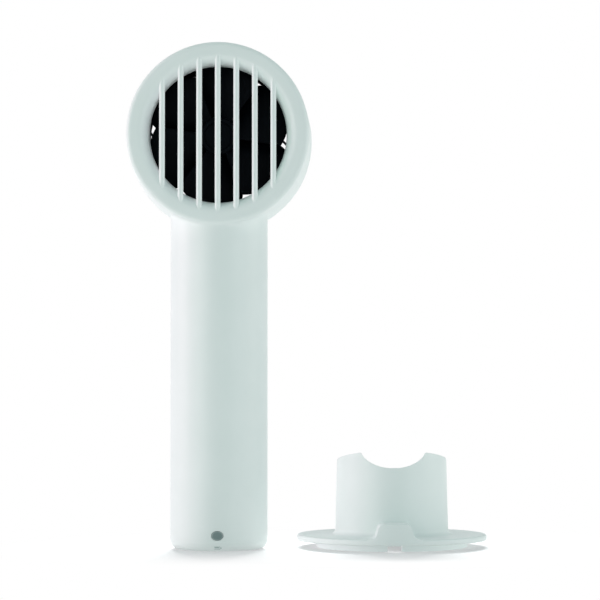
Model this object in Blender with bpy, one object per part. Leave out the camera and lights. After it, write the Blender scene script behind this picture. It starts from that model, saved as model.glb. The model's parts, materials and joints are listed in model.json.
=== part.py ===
"""Portable fan with a table stand.

Metres, +Z up. The fan stands on the flat base of its handle, whose centre is the origin. The air leaves
through the slatted front, towards -Y. The stand is a loose piece that stands beside the fan.
"""

import math

import bmesh
import bpy
from mathutils import Vector

# Clearances and counts shared by all pieces
GAP = 0.0003
OVERRUN = 0.0010
SINK = 0.0004
MERGE_DISTANCE = 0.0000001
SHARP_ANGLE = math.radians(35)
HEAD_STEPS = 54
TUBE_STEPS = 44
ROUND_STEPS = 16
SMALL_STEPS = 8
CORNER_STEPS = 3

# Handle
HANDLE_RADIUS = 0.0190
HANDLE_EDGE_ROUND = 0.0036
HANDLE_FACE_DEPTH = 0.0010
SHELL_WALL = 0.0018
HANDLE_OPEN_RISE = 0.0045
PAD_MARGIN = 0.0024
PAD_THICKNESS = 0.0008

# Head: a short drum across the top of the handle
HEAD_RISE = 0.0095
HEAD_DEPTH = 0.0400
HEAD_REAR_RADIUS = 0.0364
HEAD_TAPER = 0.0011
HEAD_EDGE_ROUND = 0.0017
FACE_RING_WIDTH = 0.0046
BACK_RING_WIDTH = 0.0070
MOUTH_FLARE = 0.00415
MOUTH_DEPTH = 0.0068
MOUTH_LIP_LENGTH = 0.0018
MOUTH_WALL = 0.0016

# Slats across the mouth
SLAT_COUNT = 7
SLAT_PITCH_SHARE = 0.2329
SLAT_WIDTH = 0.0022
SLAT_DEPTH = 0.0046
SLAT_RECESS = 0.00012

# Air duct with its motor cup
DUCT_SETBACK = 0.0065
DUCT_WALL = 0.0012
DUCT_REAR_SETBACK = 0.0040
DUCT_NOTCH_WIDTH = 0.0160
DUCT_NOTCH_DEPTH = 0.0045
CUP_WALL = 0.0012
CUP_PLATE_CLEARANCE = 0.0024
CUP_PLATE = 0.0012
CUP_DEPTH = 0.0095
STRUT_COUNT = 3
STRUT_THICKNESS = 0.0016
STRUT_SETBACK = 0.0016
STRUT_DEPTH = 0.0060

# Rear guard
GUARD_BAR_COUNT = 24
GUARD_BAR_WIDTH = 0.0009
GUARD_BAR_DEPTH = 0.0016
GUARD_RECESS = 0.0008
GUARD_RIM_WIDTH = 0.0022
GUARD_CAP_RADIUS = 0.0130
GUARD_CAP_THICKNESS = 0.0014
GUARD_RING_SHARE = 0.512
GUARD_RING_WIDTH = 0.0010
GUARD_SWEEP = math.radians(24)
GUARD_PHASE = math.radians(-6.5)
GUARD_BAR_STEPS = 2

# Fan rotor
BLADE_COUNT = 6
BLADE_PHASE = math.radians(-9)
BLADE_SPAN = math.radians(62.5)
BLADE_REAR_SPAN = math.radians(12.5)
BLADE_FRONT_SPAN = math.radians(38)
BLADE_TIP_CLEARANCE = 0.0009
BLADE_FRONT_CORNER_DROP = 0.0045
BLADE_REAR_CORNER_DROP = 0.0055
BLADE_THICKNESS = 0.0011
BLADE_DEPTH = 0.0062
BLADE_CAMBER_SHARE = 0.12
BLADE_SPAN_STEPS = 8
BLADE_REACH_STEPS = 3
HUB_RADIUS = 0.0074
HUB_SETBACK = 0.0125
HUB_LENGTH = 0.0065
HUB_DOME = 0.0008
HUB_WALL = 0.0012

# Motor
MOTOR_RADIUS = 0.0122
MOTOR_LENGTH = 0.0123
MOTOR_WALL = 0.0008
MOTOR_SCREW_PITCH_RADIUS = 0.0068
SHAFT_RADIUS = 0.0010
SHAFT_TAIL = 0.0018
BUSH_RADIUS = 0.0030
BUSH_NOSE = 0.0012
BUSH_LENGTH = 0.0030
MAGNET_THICKNESS = 0.0019
MAGNET_INSET = 0.0008
ARMATURE_AIR_GAP = 0.0005
ARMATURE_LENGTH = 0.0050
ARMATURE_POLES = 3
ARMATURE_CORE_RADIUS = 0.0030
ARMATURE_NECK_WIDTH = 0.0024
ARMATURE_SHOE_THICKNESS = 0.0014
ARMATURE_SHOE_ANGLE = math.radians(88)
COMMUTATOR_RADIUS = 0.0026
COMMUTATOR_LENGTH = 0.0020
END_CAP_THICKNESS = 0.0015
BRUSH_THICKNESS = 0.0005
BRUSH_WIDTH = 0.0020
BRUSH_X = 0.0058
BRUSH_TAIL = 0.0012

# Battery and its tray
CELL_SETBACK = 0.0080
CELL_LENGTH = 0.0650
CELL_EDGE_ROUND = 0.0008
CELL_BUTTON_RADIUS = 0.0030
CELL_BUTTON_HEIGHT = 0.0008
TRAY_CLEARANCE = 0.0017
TRAY_BASE_Z = 0.0120
TRAY_WALL = 0.0015
TAB_THICKNESS = 0.0003
TAB_WIDTH = 0.0050
TRAY_WINDOW_WIDTH = 0.0062
TRAY_WINDOW_HEIGHT = 0.0046
TRAY_EAR_SETBACK = 0.0039
TRAY_EAR_HALF_HEIGHT = 0.0028
TRAY_EAR_REACH = 0.0024
TRAY_EAR_INSET = 0.0120
TRAY_BOSS_RADIUS = 0.0021

# Circuit board and what it carries
BOARD_CLEARANCE = 0.0019
BOARD_THICKNESS = 0.0012
BOARD_MARGIN = 0.0022
BOARD_BASE_Z = 0.0024
BOARD_TOP_Z = 0.0600
BOARD_SCREW_INSET = 0.0028
BOARD_SCREW_HIGH_Z = 0.0460
CHIP_WIDTH = 0.0050
CHIP_HEIGHT = 0.0062
CHIP_THICKNESS = 0.0015
CHARGER_Z = 0.0165
CONTROLLER_Z = 0.0275
COIL_Z = 0.0530
COIL_X = 0.0050
COIL_WIDTH = 0.0052
COIL_THICKNESS = 0.0030
COIL_CHAMFER = 0.0012
CAPACITOR_X = -0.0040
CAPACITOR_RADIUS = 0.0022
CAPACITOR_LENGTH = 0.0045

# Charging socket
SOCKET_Z = 0.0052
SOCKET_WIDTH = 0.0090
SOCKET_HEIGHT = 0.0032
SOCKET_WALL = 0.0003
SOCKET_DEPTH = 0.0060
SOCKET_RECESS = 0.0014
TONGUE_WIDTH = 0.0066
TONGUE_THICKNESS = 0.0007
TONGUE_LENGTH = 0.0048

# Power button and its switch
BUTTON_Z = 0.0380
BUTTON_RADIUS = 0.0057
BUTTON_PROUD = 0.0004
BUTTON_FLANGE = 0.0011
BUTTON_FLANGE_THICKNESS = 0.0010
BUTTON_FLANGE_SETBACK = 0.0047
BUTTON_TRAVEL = 0.0005
BUTTON_STEM_RADIUS = 0.0018
SWITCH_WIDTH = 0.0060
SWITCH_THICKNESS = 0.0034
PLUNGER_RADIUS = 0.0016
PLUNGER_LENGTH = 0.0026
PLUNGER_PROUD = 0.0006

# Indicator
LIGHT_Z = 0.0062
LIGHT_HALF_WIDTH = 0.0022
LIGHT_HALF_HEIGHT = 0.00175
LIGHT_RECESS = 0.0002
LIGHT_HEAD_LENGTH = 0.0030
LIGHT_ROD_RADIUS = 0.0014
LED_WIDTH = 0.0028
LED_THICKNESS = 0.0012

# Screws
SHELL_SCREW_RISE = 0.0079
SHELL_SCREW_PITCH = 0.0245
SHELL_SCREW_HEAD_Y = 0.0060
SHELL_SCREW_TIP_Y = -0.0055
SHELL_BOSS_WALL = 0.0010
SCREW_RADIUS = 0.0011
SCREW_HEAD_RADIUS = 0.0021
SCREW_HEAD_THICKNESS = 0.0013
SMALL_SCREW_RADIUS = 0.0008
SMALL_SCREW_HEAD_RADIUS = 0.0016
SMALL_SCREW_HEAD_THICKNESS = 0.0008
SMALL_SCREW_BITE = 0.0038
TONGUE_HOOK_SETBACK = 0.0057
TONGUE_HOOK_WIDTH = 0.0050
TONGUE_HOOK_HEIGHT = 0.0015
TONGUE_HOOK_REACH = 0.0026

# Leads
LEAD_RADIUS = 0.00055
LEAD_X = 0.0060
LEAD_SETBACK = 0.0047
LEAD_STEPS = 4

# Stand
STAND_X = 0.0680
STAND_Y = 0.0120
STAND_RADIUS = 0.0375
STAND_TOP_Z = 0.0050
STAND_UNDERSIDE_Z = 0.0027
STAND_EDGE_ROUND = 0.0008
CUP_CLEARANCE = 0.00035
CUP_BASE_WALL = 0.00295
CUP_TOP_WALL = 0.00215
CUP_FILLET = 0.0022
CUP_FLOOR_BASE_Z = 0.0008
CUP_FLOOR_THICKNESS = 0.0010
CUP_FRONT_Z = 0.0385
CUP_REAR_Z = 0.0297
NOTCH_HALF_WIDTH = 0.0128
NOTCH_HALF_HEIGHT = 0.0078
NOTCH_Z = 0.0394
TUNNEL_TOP_Z = 0.0108
TUNNEL_TOP_HALF_WIDTH = 0.0042
TUNNEL_CORNER_ROUND = 0.0024
TUNNEL_SIDE_HALF_WIDTH = 0.0070
TUNNEL_FLARE = 0.0034
TUNNEL_FLARE_RISE = 0.0022
TUNNEL_WALL = 0.0014
FOOT_PLACE_SHARE = 0.5
FOOT_WIDTH = 0.0040
FOOT_GROOVE_DEPTH = 0.0008
FOOT_NOTCH_WIDTH = 0.0055
STAND_STEPS = 50

# Colour, roughness and metallic value of each finish
FINISHES = {
    "white_plastic": ((0.78, 0.84, 0.83), 0.45, 0.0),
    "black_plastic": ((0.012, 0.013, 0.015), 0.40, 0.0),
    "white_rubber": ((0.74, 0.80, 0.79), 0.75, 0.0),
    "grey_lens": ((0.15, 0.22, 0.22), 0.25, 0.0),
    "steel": ((0.55, 0.56, 0.58), 0.30, 1.0),
    "zinc": ((0.62, 0.62, 0.64), 0.35, 1.0),
    "bronze": ((0.55, 0.36, 0.18), 0.40, 1.0),
    "magnet": ((0.05, 0.05, 0.05), 0.60, 0.0),
    "board_green": ((0.02, 0.16, 0.07), 0.45, 0.0),
    "cell_sleeve": ((0.05, 0.22, 0.45), 0.35, 0.0),
    "red_sleeve": ((0.55, 0.02, 0.02), 0.45, 0.0),
    "black_sleeve": ((0.015, 0.015, 0.015), 0.45, 0.0),
}

# Places that follow from the sizes above
HANDLE_INNER_RADIUS = HANDLE_RADIUS - SHELL_WALL
PAD_RADIUS = HANDLE_RADIUS - HANDLE_EDGE_ROUND - PAD_MARGIN
CELL_RADIUS = HANDLE_INNER_RADIUS - CELL_SETBACK
CELL_BASE_Z = TRAY_BASE_Z + TRAY_WALL + TAB_THICKNESS + 2 * GAP
CELL_TOP_Z = CELL_BASE_Z + CELL_LENGTH
TRAY_TOP_Z = CELL_TOP_Z + CELL_BUTTON_HEIGHT + TAB_THICKNESS + 2 * GAP + TRAY_WALL
TRAY_INNER_RADIUS = CELL_RADIUS + GAP
TRAY_OUTER_RADIUS = TRAY_INNER_RADIUS + TRAY_WALL
CELL_Y = TRAY_OUTER_RADIUS + TRAY_CLEARANCE - HANDLE_INNER_RADIUS
TRAY_EAR_X = HANDLE_INNER_RADIUS - TRAY_EAR_SETBACK
TRAY_EAR_PLACES = [
    (side, height)
    for side in (-1, 1)
    for height in (TRAY_BASE_Z + TRAY_EAR_INSET, TRAY_TOP_Z - TRAY_EAR_INSET)
]
BOARD_Y = CELL_Y + TRAY_OUTER_RADIUS + BOARD_CLEARANCE
BOARD_REAR_Y = BOARD_Y + BOARD_THICKNESS
BOARD_WIDTH = 2 * (TRAY_EAR_X - TRAY_BOSS_RADIUS - BOARD_MARGIN)
BOARD_SCREW_X = BOARD_WIDTH / 2 - BOARD_SCREW_INSET
BOARD_SCREW_LOW_Z = (CHARGER_Z + CONTROLLER_Z) / 2
PART_SEAT_Y = BOARD_REAR_Y + GAP
BUTTON_FLANGE_Y = HANDLE_RADIUS - BUTTON_FLANGE_SETBACK
LEAD_Y = HANDLE_INNER_RADIUS - LEAD_SETBACK
TONGUE_HOOK_X = HANDLE_INNER_RADIUS - TONGUE_HOOK_SETBACK
SHELL_SCREW_LOW_Z = TRAY_TOP_Z + SHELL_SCREW_RISE
SHELL_SCREW_HIGH_Z = SHELL_SCREW_LOW_Z + SHELL_SCREW_PITCH
HEAD_Z = SHELL_SCREW_HIGH_Z + HEAD_RISE + HEAD_REAR_RADIUS
HEAD_FRONT_Y = -HANDLE_RADIUS - HANDLE_FACE_DEPTH
HEAD_REAR_Y = HEAD_FRONT_Y + HEAD_DEPTH
HEAD_FRONT_RADIUS = HEAD_REAR_RADIUS - HEAD_TAPER
HEAD_CENTRE = Vector((0, 0, HEAD_Z))
ORIGIN = Vector((0, 0, 0))
MOUTH_RIM_RADIUS = HEAD_FRONT_RADIUS - FACE_RING_WIDTH
MOUTH_THROAT_RADIUS = MOUTH_RIM_RADIUS - MOUTH_FLARE
REAR_OPENING_RADIUS = HEAD_REAR_RADIUS - BACK_RING_WIDTH
SLAT_PITCH = MOUTH_RIM_RADIUS * SLAT_PITCH_SHARE
STAND_CENTRE = Vector((STAND_X, STAND_Y, 0))
THROAT_Y = HEAD_FRONT_Y + MOUTH_DEPTH
LIP_END_Y = THROAT_Y + MOUTH_LIP_LENGTH
DUCT_FRONT_Y = LIP_END_Y + GAP
DUCT_INNER_RADIUS = HEAD_REAR_RADIUS - DUCT_SETBACK
DUCT_OUTER_RADIUS = DUCT_INNER_RADIUS + DUCT_WALL
DUCT_REAR_Y = HEAD_REAR_Y - DUCT_REAR_SETBACK
GUARD_REAR_Y = HEAD_REAR_Y - GUARD_RECESS
GUARD_BAR_FRONT_Y = GUARD_REAR_Y - GUARD_BAR_DEPTH
GUARD_RING_RADIUS = GUARD_CAP_RADIUS + (REAR_OPENING_RADIUS - GUARD_CAP_RADIUS) * GUARD_RING_SHARE
BLADE_TIP_RADIUS = DUCT_INNER_RADIUS - BLADE_TIP_CLEARANCE
BLADE_FRONT_CORNER_RADIUS = BLADE_TIP_RADIUS - BLADE_FRONT_CORNER_DROP
BLADE_REAR_CORNER_RADIUS = BLADE_TIP_RADIUS - BLADE_REAR_CORNER_DROP
HUB_FACE_Y = HEAD_FRONT_Y + HUB_SETBACK
CUP_PLATE_Y = HUB_FACE_Y + HUB_LENGTH + CUP_PLATE_CLEARANCE
STRUT_FRONT_Y = CUP_PLATE_Y + STRUT_SETBACK
MOTOR_FRONT_Y = CUP_PLATE_Y + CUP_PLATE + GAP
MOTOR_REAR_Y = MOTOR_FRONT_Y + MOTOR_LENGTH
MOTOR_INNER_RADIUS = MOTOR_RADIUS - MOTOR_WALL
MAGNET_OUTER_RADIUS = MOTOR_INNER_RADIUS - GAP
MAGNET_INNER_RADIUS = MAGNET_OUTER_RADIUS - MAGNET_THICKNESS
ARMATURE_RADIUS = MAGNET_INNER_RADIUS - ARMATURE_AIR_GAP
END_CAP_Y = MOTOR_REAR_Y - END_CAP_THICKNESS + MOTOR_WALL
SHAFT_BORE_RADIUS = SHAFT_RADIUS + GAP
BUSH_FRONT_Y = MOTOR_FRONT_Y - BUSH_NOSE
ARMATURE_FRONT_Y = BUSH_FRONT_Y + BUSH_LENGTH + MOTOR_WALL + GAP
COMMUTATOR_Y = ARMATURE_FRONT_Y + ARMATURE_LENGTH + GAP
REAR_BUSH_Y = END_CAP_Y
CUP_INNER_RADIUS = HANDLE_RADIUS + CUP_CLEARANCE
CUP_OUTER_BASE_RADIUS = CUP_INNER_RADIUS + CUP_BASE_WALL
CUP_OUTER_TOP_RADIUS = CUP_INNER_RADIUS + CUP_TOP_WALL
CUP_FLOOR_TOP_Z = CUP_FLOOR_BASE_Z + CUP_FLOOR_THICKNESS
FOOT_RADIUS = CUP_OUTER_BASE_RADIUS + (STAND_RADIUS - CUP_OUTER_BASE_RADIUS) * FOOT_PLACE_SHARE


def clear_scene():
    """Removes every object that the scene holds."""
    for old in list(bpy.data.objects):
        bpy.data.objects.remove(old, do_unlink=True)


def finish_material(name, finish):
    """Returns a material of the object's own, with the colours of one finish."""
    colour, roughness, metallic = FINISHES[finish]
    material = bpy.data.materials.new(name)
    material.use_nodes = True
    shader = material.node_tree.nodes["Principled BSDF"]
    shader.inputs["Base Color"].default_value = (*colour, 1.0)
    shader.inputs["Roughness"].default_value = roughness
    shader.inputs["Metallic"].default_value = metallic
    return material


def link_mesh(name, body, place):
    """Makes an object of a bmesh body, smooth where its faces meet at a small angle."""
    mesh = bpy.data.meshes.new(name)
    body.to_mesh(mesh)
    body.free()
    mesh.shade_smooth()
    mesh.set_sharp_from_angle(angle=SHARP_ANGLE)
    made = bpy.data.objects.new(name, mesh)
    made.location = place
    bpy.context.scene.collection.objects.link(made)
    return made


def add_piece(name, body, finish, place=ORIGIN):
    """Adds one physical piece of the object."""
    made = link_mesh(name, body, place)
    made.data.materials.append(finish_material(name, finish))
    return made


def add_tool(name, body, place=ORIGIN):
    """Adds a shape that only joins, cuts or trims a piece."""
    made = link_mesh(name, body, place)
    made.hide_render = True
    made.display_type = "WIRE"
    return made


def combine(target, tool, operation):
    """Joins, cuts or trims target with tool by a live modifier."""
    change = target.modifiers.new(tool.name, "BOOLEAN")
    change.operation = operation
    change.solver = "EXACT"
    change.object = tool
    return target


def join(target, tool):
    """Adds tool's volume to target."""
    return combine(target, tool, "UNION")


def cut(target, tool):
    """Takes tool's volume out of target."""
    return combine(target, tool, "DIFFERENCE")


def trim(target, tool):
    """Keeps only what target shares with tool."""
    return combine(target, tool, "INTERSECT")


def spread(first, second, height, axis):
    """Returns the point with two cross coordinates and a height along axis."""
    if axis == "X":
        return Vector((height, first, second))
    if axis == "Y":
        return Vector((first, height, second))
    return Vector((first, second, height))


def turned(profile, steps, axis="Z"):
    """Returns a closed body turned from (radius, height) points; its ends may lie on the axis."""
    body = bmesh.new()
    start = math.pi / steps
    points = [
        body.verts.new(spread(radius * math.cos(start), radius * math.sin(start), height, axis))
        for radius, height in profile
    ]
    edges = [body.edges.new(pair) for pair in zip(points, points[1:])]
    if profile[0][0] > 0 or profile[-1][0] > 0:
        edges.append(body.edges.new((points[-1], points[0])))
    bmesh.ops.spin(
        body,
        geom=points + edges,
        cent=ORIGIN,
        axis=spread(0, 0, 1, axis),
        dvec=ORIGIN,
        angle=math.tau,
        steps=steps,
        use_merge=True,
    )
    bmesh.ops.remove_doubles(body, verts=body.verts, dist=MERGE_DISTANCE)
    bmesh.ops.recalc_face_normals(body, faces=body.faces)
    return body


def add_prism(body, outline, low, high, axis):
    """Adds a closed prism, drawn out along axis from low to high, to body."""
    rings = [[body.verts.new(spread(a, b, height, axis)) for a, b in outline] for height in (low, high)]
    body.faces.new(rings[0])
    body.faces.new(rings[1][::-1])
    count = len(outline)
    for index in range(count):
        after = (index + 1) % count
        body.faces.new((rings[0][index], rings[1][index], rings[1][after], rings[0][after]))


def prism(outline, low, high, axis="Z"):
    """Returns a closed prism with an outline across axis, from low to high along it."""
    body = bmesh.new()
    add_prism(body, outline, low, high, axis)
    bmesh.ops.recalc_face_normals(body, faces=body.faces)
    return body


def block(low, high):
    """Returns a box between two opposite corners."""
    return prism(rectangle(low[0], high[0], low[1], high[1]), low[2], high[2])


def rectangle(left, right, bottom, top):
    """Returns the four corners of a rectangle."""
    return [(left, bottom), (right, bottom), (right, top), (left, top)]


def arc(centre, radii, start, end, steps):
    """Returns points on an elliptic arc, from angle start to angle end."""
    turns = [start + (end - start) * step / steps for step in range(steps + 1)]
    return [(centre[0] + radii[0] * math.cos(turn), centre[1] + radii[1] * math.sin(turn)) for turn in turns]


def circle(centre, radius, steps):
    """Returns a circle's outline, with a flat across each axis."""
    start = math.pi / steps
    return arc(centre, (radius, radius), start, start + math.tau, steps)[:-1]


def rounded_rectangle(half_width, half_height, radius, steps, centre=(0, 0)):
    """Returns the outline of a rectangle with round corners."""
    outline = []
    quarter = math.pi / 2
    for index, (across, up) in enumerate(((1, 1), (-1, 1), (-1, -1), (1, -1))):
        corner = (
            centre[0] + across * (half_width - radius),
            centre[1] + up * (half_height - radius),
        )
        outline += arc(corner, (radius, radius), index * quarter, (index + 1) * quarter, steps)
    return outline


def head_radius(depth_y):
    """Returns the head's outer radius at a place along its axis."""
    front = HEAD_FRONT_Y + HEAD_EDGE_ROUND
    rear = HEAD_REAR_Y - HEAD_EDGE_ROUND
    share = (depth_y - front) / (rear - front)
    return HEAD_FRONT_RADIUS + (HEAD_REAR_RADIUS - HEAD_FRONT_RADIUS) * share


def mouth_curve(growth):
    """Returns the bell mouth from its face rim to its throat, moved into the wall by growth."""
    centre = (MOUTH_RIM_RADIUS, THROAT_Y)
    radii = (MOUTH_RIM_RADIUS - MOUTH_THROAT_RADIUS - growth, MOUTH_DEPTH - growth)
    return arc(centre, radii, 1.5 * math.pi, math.pi, 2 * CORNER_STEPS)


def shell_tools():
    """Makes the shapes that both shells are built from, and returns them by name."""
    quarter = math.pi / 2
    edge = (HEAD_EDGE_ROUND, HEAD_EDGE_ROUND)
    front_corner = (HEAD_FRONT_RADIUS - HEAD_EDGE_ROUND, HEAD_FRONT_Y + HEAD_EDGE_ROUND)
    rear_corner = (HEAD_REAR_RADIUS - HEAD_EDGE_ROUND, HEAD_REAR_Y - HEAD_EDGE_ROUND)
    drum = [(0, HEAD_FRONT_Y)]
    drum += arc(front_corner, edge, -quarter, 0, CORNER_STEPS)
    drum += arc(rear_corner, edge, 0, quarter, CORNER_STEPS)
    drum += [(0, HEAD_REAR_Y)]

    inner_front_y = HEAD_FRONT_Y + SHELL_WALL
    inner_rear_y = HEAD_REAR_Y - SHELL_WALL
    chamfer = SHELL_WALL / 2
    hollow = [(0, HEAD_FRONT_Y - OVERRUN), (MOUTH_RIM_RADIUS, HEAD_FRONT_Y - OVERRUN)]
    hollow += mouth_curve(0)
    hollow += [(MOUTH_THROAT_RADIUS, LIP_END_Y), (MOUTH_THROAT_RADIUS + MOUTH_WALL, LIP_END_Y)]
    hollow += mouth_curve(MOUTH_WALL)[:0:-1]
    hollow += [
        (MOUTH_RIM_RADIUS, inner_front_y),
        (head_radius(inner_front_y) - SHELL_WALL, inner_front_y),
        (head_radius(inner_rear_y) - SHELL_WALL, inner_rear_y),
        (REAR_OPENING_RADIUS, inner_rear_y),
        (REAR_OPENING_RADIUS, HEAD_REAR_Y - chamfer),
        (REAR_OPENING_RADIUS + chamfer, HEAD_REAR_Y),
        (REAR_OPENING_RADIUS + chamfer, HEAD_REAR_Y + OVERRUN),
        (0, HEAD_REAR_Y + OVERRUN),
    ]

    reach = HEAD_REAR_RADIUS + OVERRUN
    top = HEAD_Z + reach
    return {
        "drum": add_tool("tool_drum", turned(drum, HEAD_STEPS, "Y"), HEAD_CENTRE),
        "hollow": add_tool("tool_head_hollow", turned(hollow, HEAD_STEPS, "Y"), HEAD_CENTRE),
        "bore": add_tool("tool_handle_bore", handle_bore()),
        "pad_seat": add_tool("tool_pad_seat", pad_disc(-OVERRUN, PAD_THICKNESS + GAP, PAD_RADIUS + GAP)),
        "rear_half": add_tool("tool_rear_half", block((-reach, -GAP / 2, -OVERRUN), (reach, reach, top))),
        "front_half": add_tool("tool_front_half", block((-reach, -reach, -OVERRUN), (reach, GAP / 2, top))),
    }


def handle_blank():
    """Returns the solid outside of the handle, from its base up into the head."""
    edge = (HANDLE_EDGE_ROUND, HANDLE_EDGE_ROUND)
    corner = (HANDLE_RADIUS - HANDLE_EDGE_ROUND, HANDLE_EDGE_ROUND)
    top = HEAD_Z - HANDLE_RADIUS
    profile = [(0, 0)] + arc(corner, edge, -math.pi / 2, 0, CORNER_STEPS + 1)
    profile += [(HANDLE_RADIUS, top), (0, top)]
    return turned(profile, TUBE_STEPS)


def handle_bore():
    """Returns the hollow of the handle, open into the head."""
    inner_round = HANDLE_EDGE_ROUND - SHELL_WALL
    corner = (HANDLE_INNER_RADIUS - inner_round, HANDLE_EDGE_ROUND)
    top = HEAD_Z - HEAD_REAR_RADIUS + HANDLE_OPEN_RISE + SHELL_WALL
    profile = [(0, SHELL_WALL)] + arc(corner, (inner_round, inner_round), -math.pi / 2, 0, CORNER_STEPS)
    profile += [(HANDLE_INNER_RADIUS, top), (0, top)]
    return turned(profile, TUBE_STEPS)


def pad_disc(low, high, radius):
    """Returns a flat disc round the handle's axis."""
    return prism(circle((0, 0), radius, 2 * ROUND_STEPS), low, high)


def slats():
    """Returns the upright slats as separate prisms with round noses."""
    body = bmesh.new()
    half = SLAT_WIDTH / 2
    nose_y = HEAD_FRONT_Y + SLAT_RECESS + half
    outline = [(half, HEAD_FRONT_Y + SLAT_RECESS + SLAT_DEPTH)]
    outline += arc((0, nose_y), (half, half), 0, -math.pi, 2 * CORNER_STEPS)
    outline += [(-half, HEAD_FRONT_Y + SLAT_RECESS + SLAT_DEPTH)]
    for index in range(SLAT_COUNT):
        middle = (index - (SLAT_COUNT - 1) / 2) * SLAT_PITCH
        moved = [(middle + across, depth) for across, depth in outline]
        add_prism(body, moved, -MOUTH_RIM_RADIUS, MOUTH_RIM_RADIUS, "Z")
    bmesh.ops.recalc_face_normals(body, faces=body.faces)
    return body


def slat_trim():
    """Returns the bell mouth grown half into its wall, which ends the slats inside the wall."""
    profile = [(0, HEAD_FRONT_Y + SLAT_RECESS / 2)]
    curve = mouth_curve(MOUTH_WALL / 2)
    profile += [(MOUTH_RIM_RADIUS, HEAD_FRONT_Y + SLAT_RECESS / 2)] + curve[1:]
    profile += [(0, THROAT_Y)]
    return turned(profile, HEAD_STEPS, "Y")


def rod(radius, low, high, steps, centre=(0, 0), axis="Y"):
    """Returns a straight round rod along axis."""
    return prism(circle(centre, radius, steps), low, high, axis)


def front_shell(tools):
    """Builds the front half of the housing: handle front, head front, bell mouth and slats."""
    shell = add_piece("front_shell", handle_blank(), "white_plastic")
    join(shell, tools["drum"])
    cut(shell, tools["hollow"])
    cut(shell, tools["bore"])
    cut(shell, tools["pad_seat"])
    cut(shell, tools["rear_half"])
    blades = add_tool("tool_slats", slats(), HEAD_CENTRE)
    trim(blades, add_tool("tool_slat_trim", slat_trim(), HEAD_CENTRE))
    join(shell, blades)
    for index, height in enumerate((SHELL_SCREW_LOW_Z, SHELL_SCREW_HIGH_Z), 1):
        outer = SCREW_RADIUS + GAP + SHELL_BOSS_WALL
        boss = rod(outer, -HANDLE_INNER_RADIUS - SINK, -GAP / 2, SMALL_STEPS, (0, height))
        join(shell, add_tool(f"tool_front_boss_{index}", boss))
        floor_y = SHELL_SCREW_TIP_Y - 2 * GAP
        hole = rod(SCREW_RADIUS + GAP, floor_y, OVERRUN, SMALL_STEPS, (0, height))
        cut(shell, add_tool(f"tool_front_pilot_{index}", hole))
    window = arc((0, LIGHT_Z), (LIGHT_HALF_WIDTH + GAP, LIGHT_HALF_HEIGHT + GAP), 0, math.tau, ROUND_STEPS)
    window_hole = prism(window[:-1], -HANDLE_RADIUS - OVERRUN, -HANDLE_RADIUS / 2, "Y")
    cut(shell, add_tool("tool_light_window", window_hole))
    hook = [
        (-TONGUE_HOOK_REACH, SHELL_WALL - SINK),
        (-GAP, SHELL_WALL - SINK),
        (-GAP, SHELL_WALL + GAP),
        (TONGUE_HOOK_REACH, SHELL_WALL + GAP),
        (TONGUE_HOOK_REACH, SHELL_WALL + TONGUE_HOOK_HEIGHT),
        (-TONGUE_HOOK_REACH, SHELL_WALL + TONGUE_HOOK_HEIGHT),
    ]
    hooks = bmesh.new()
    half = TONGUE_HOOK_WIDTH / 2
    for middle in (-TONGUE_HOOK_X, TONGUE_HOOK_X):
        add_prism(hooks, hook, middle - half, middle + half, "X")
    bmesh.ops.recalc_face_normals(hooks, faces=hooks.faces)
    join(shell, add_tool("tool_hooks", hooks))
    return shell


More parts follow.
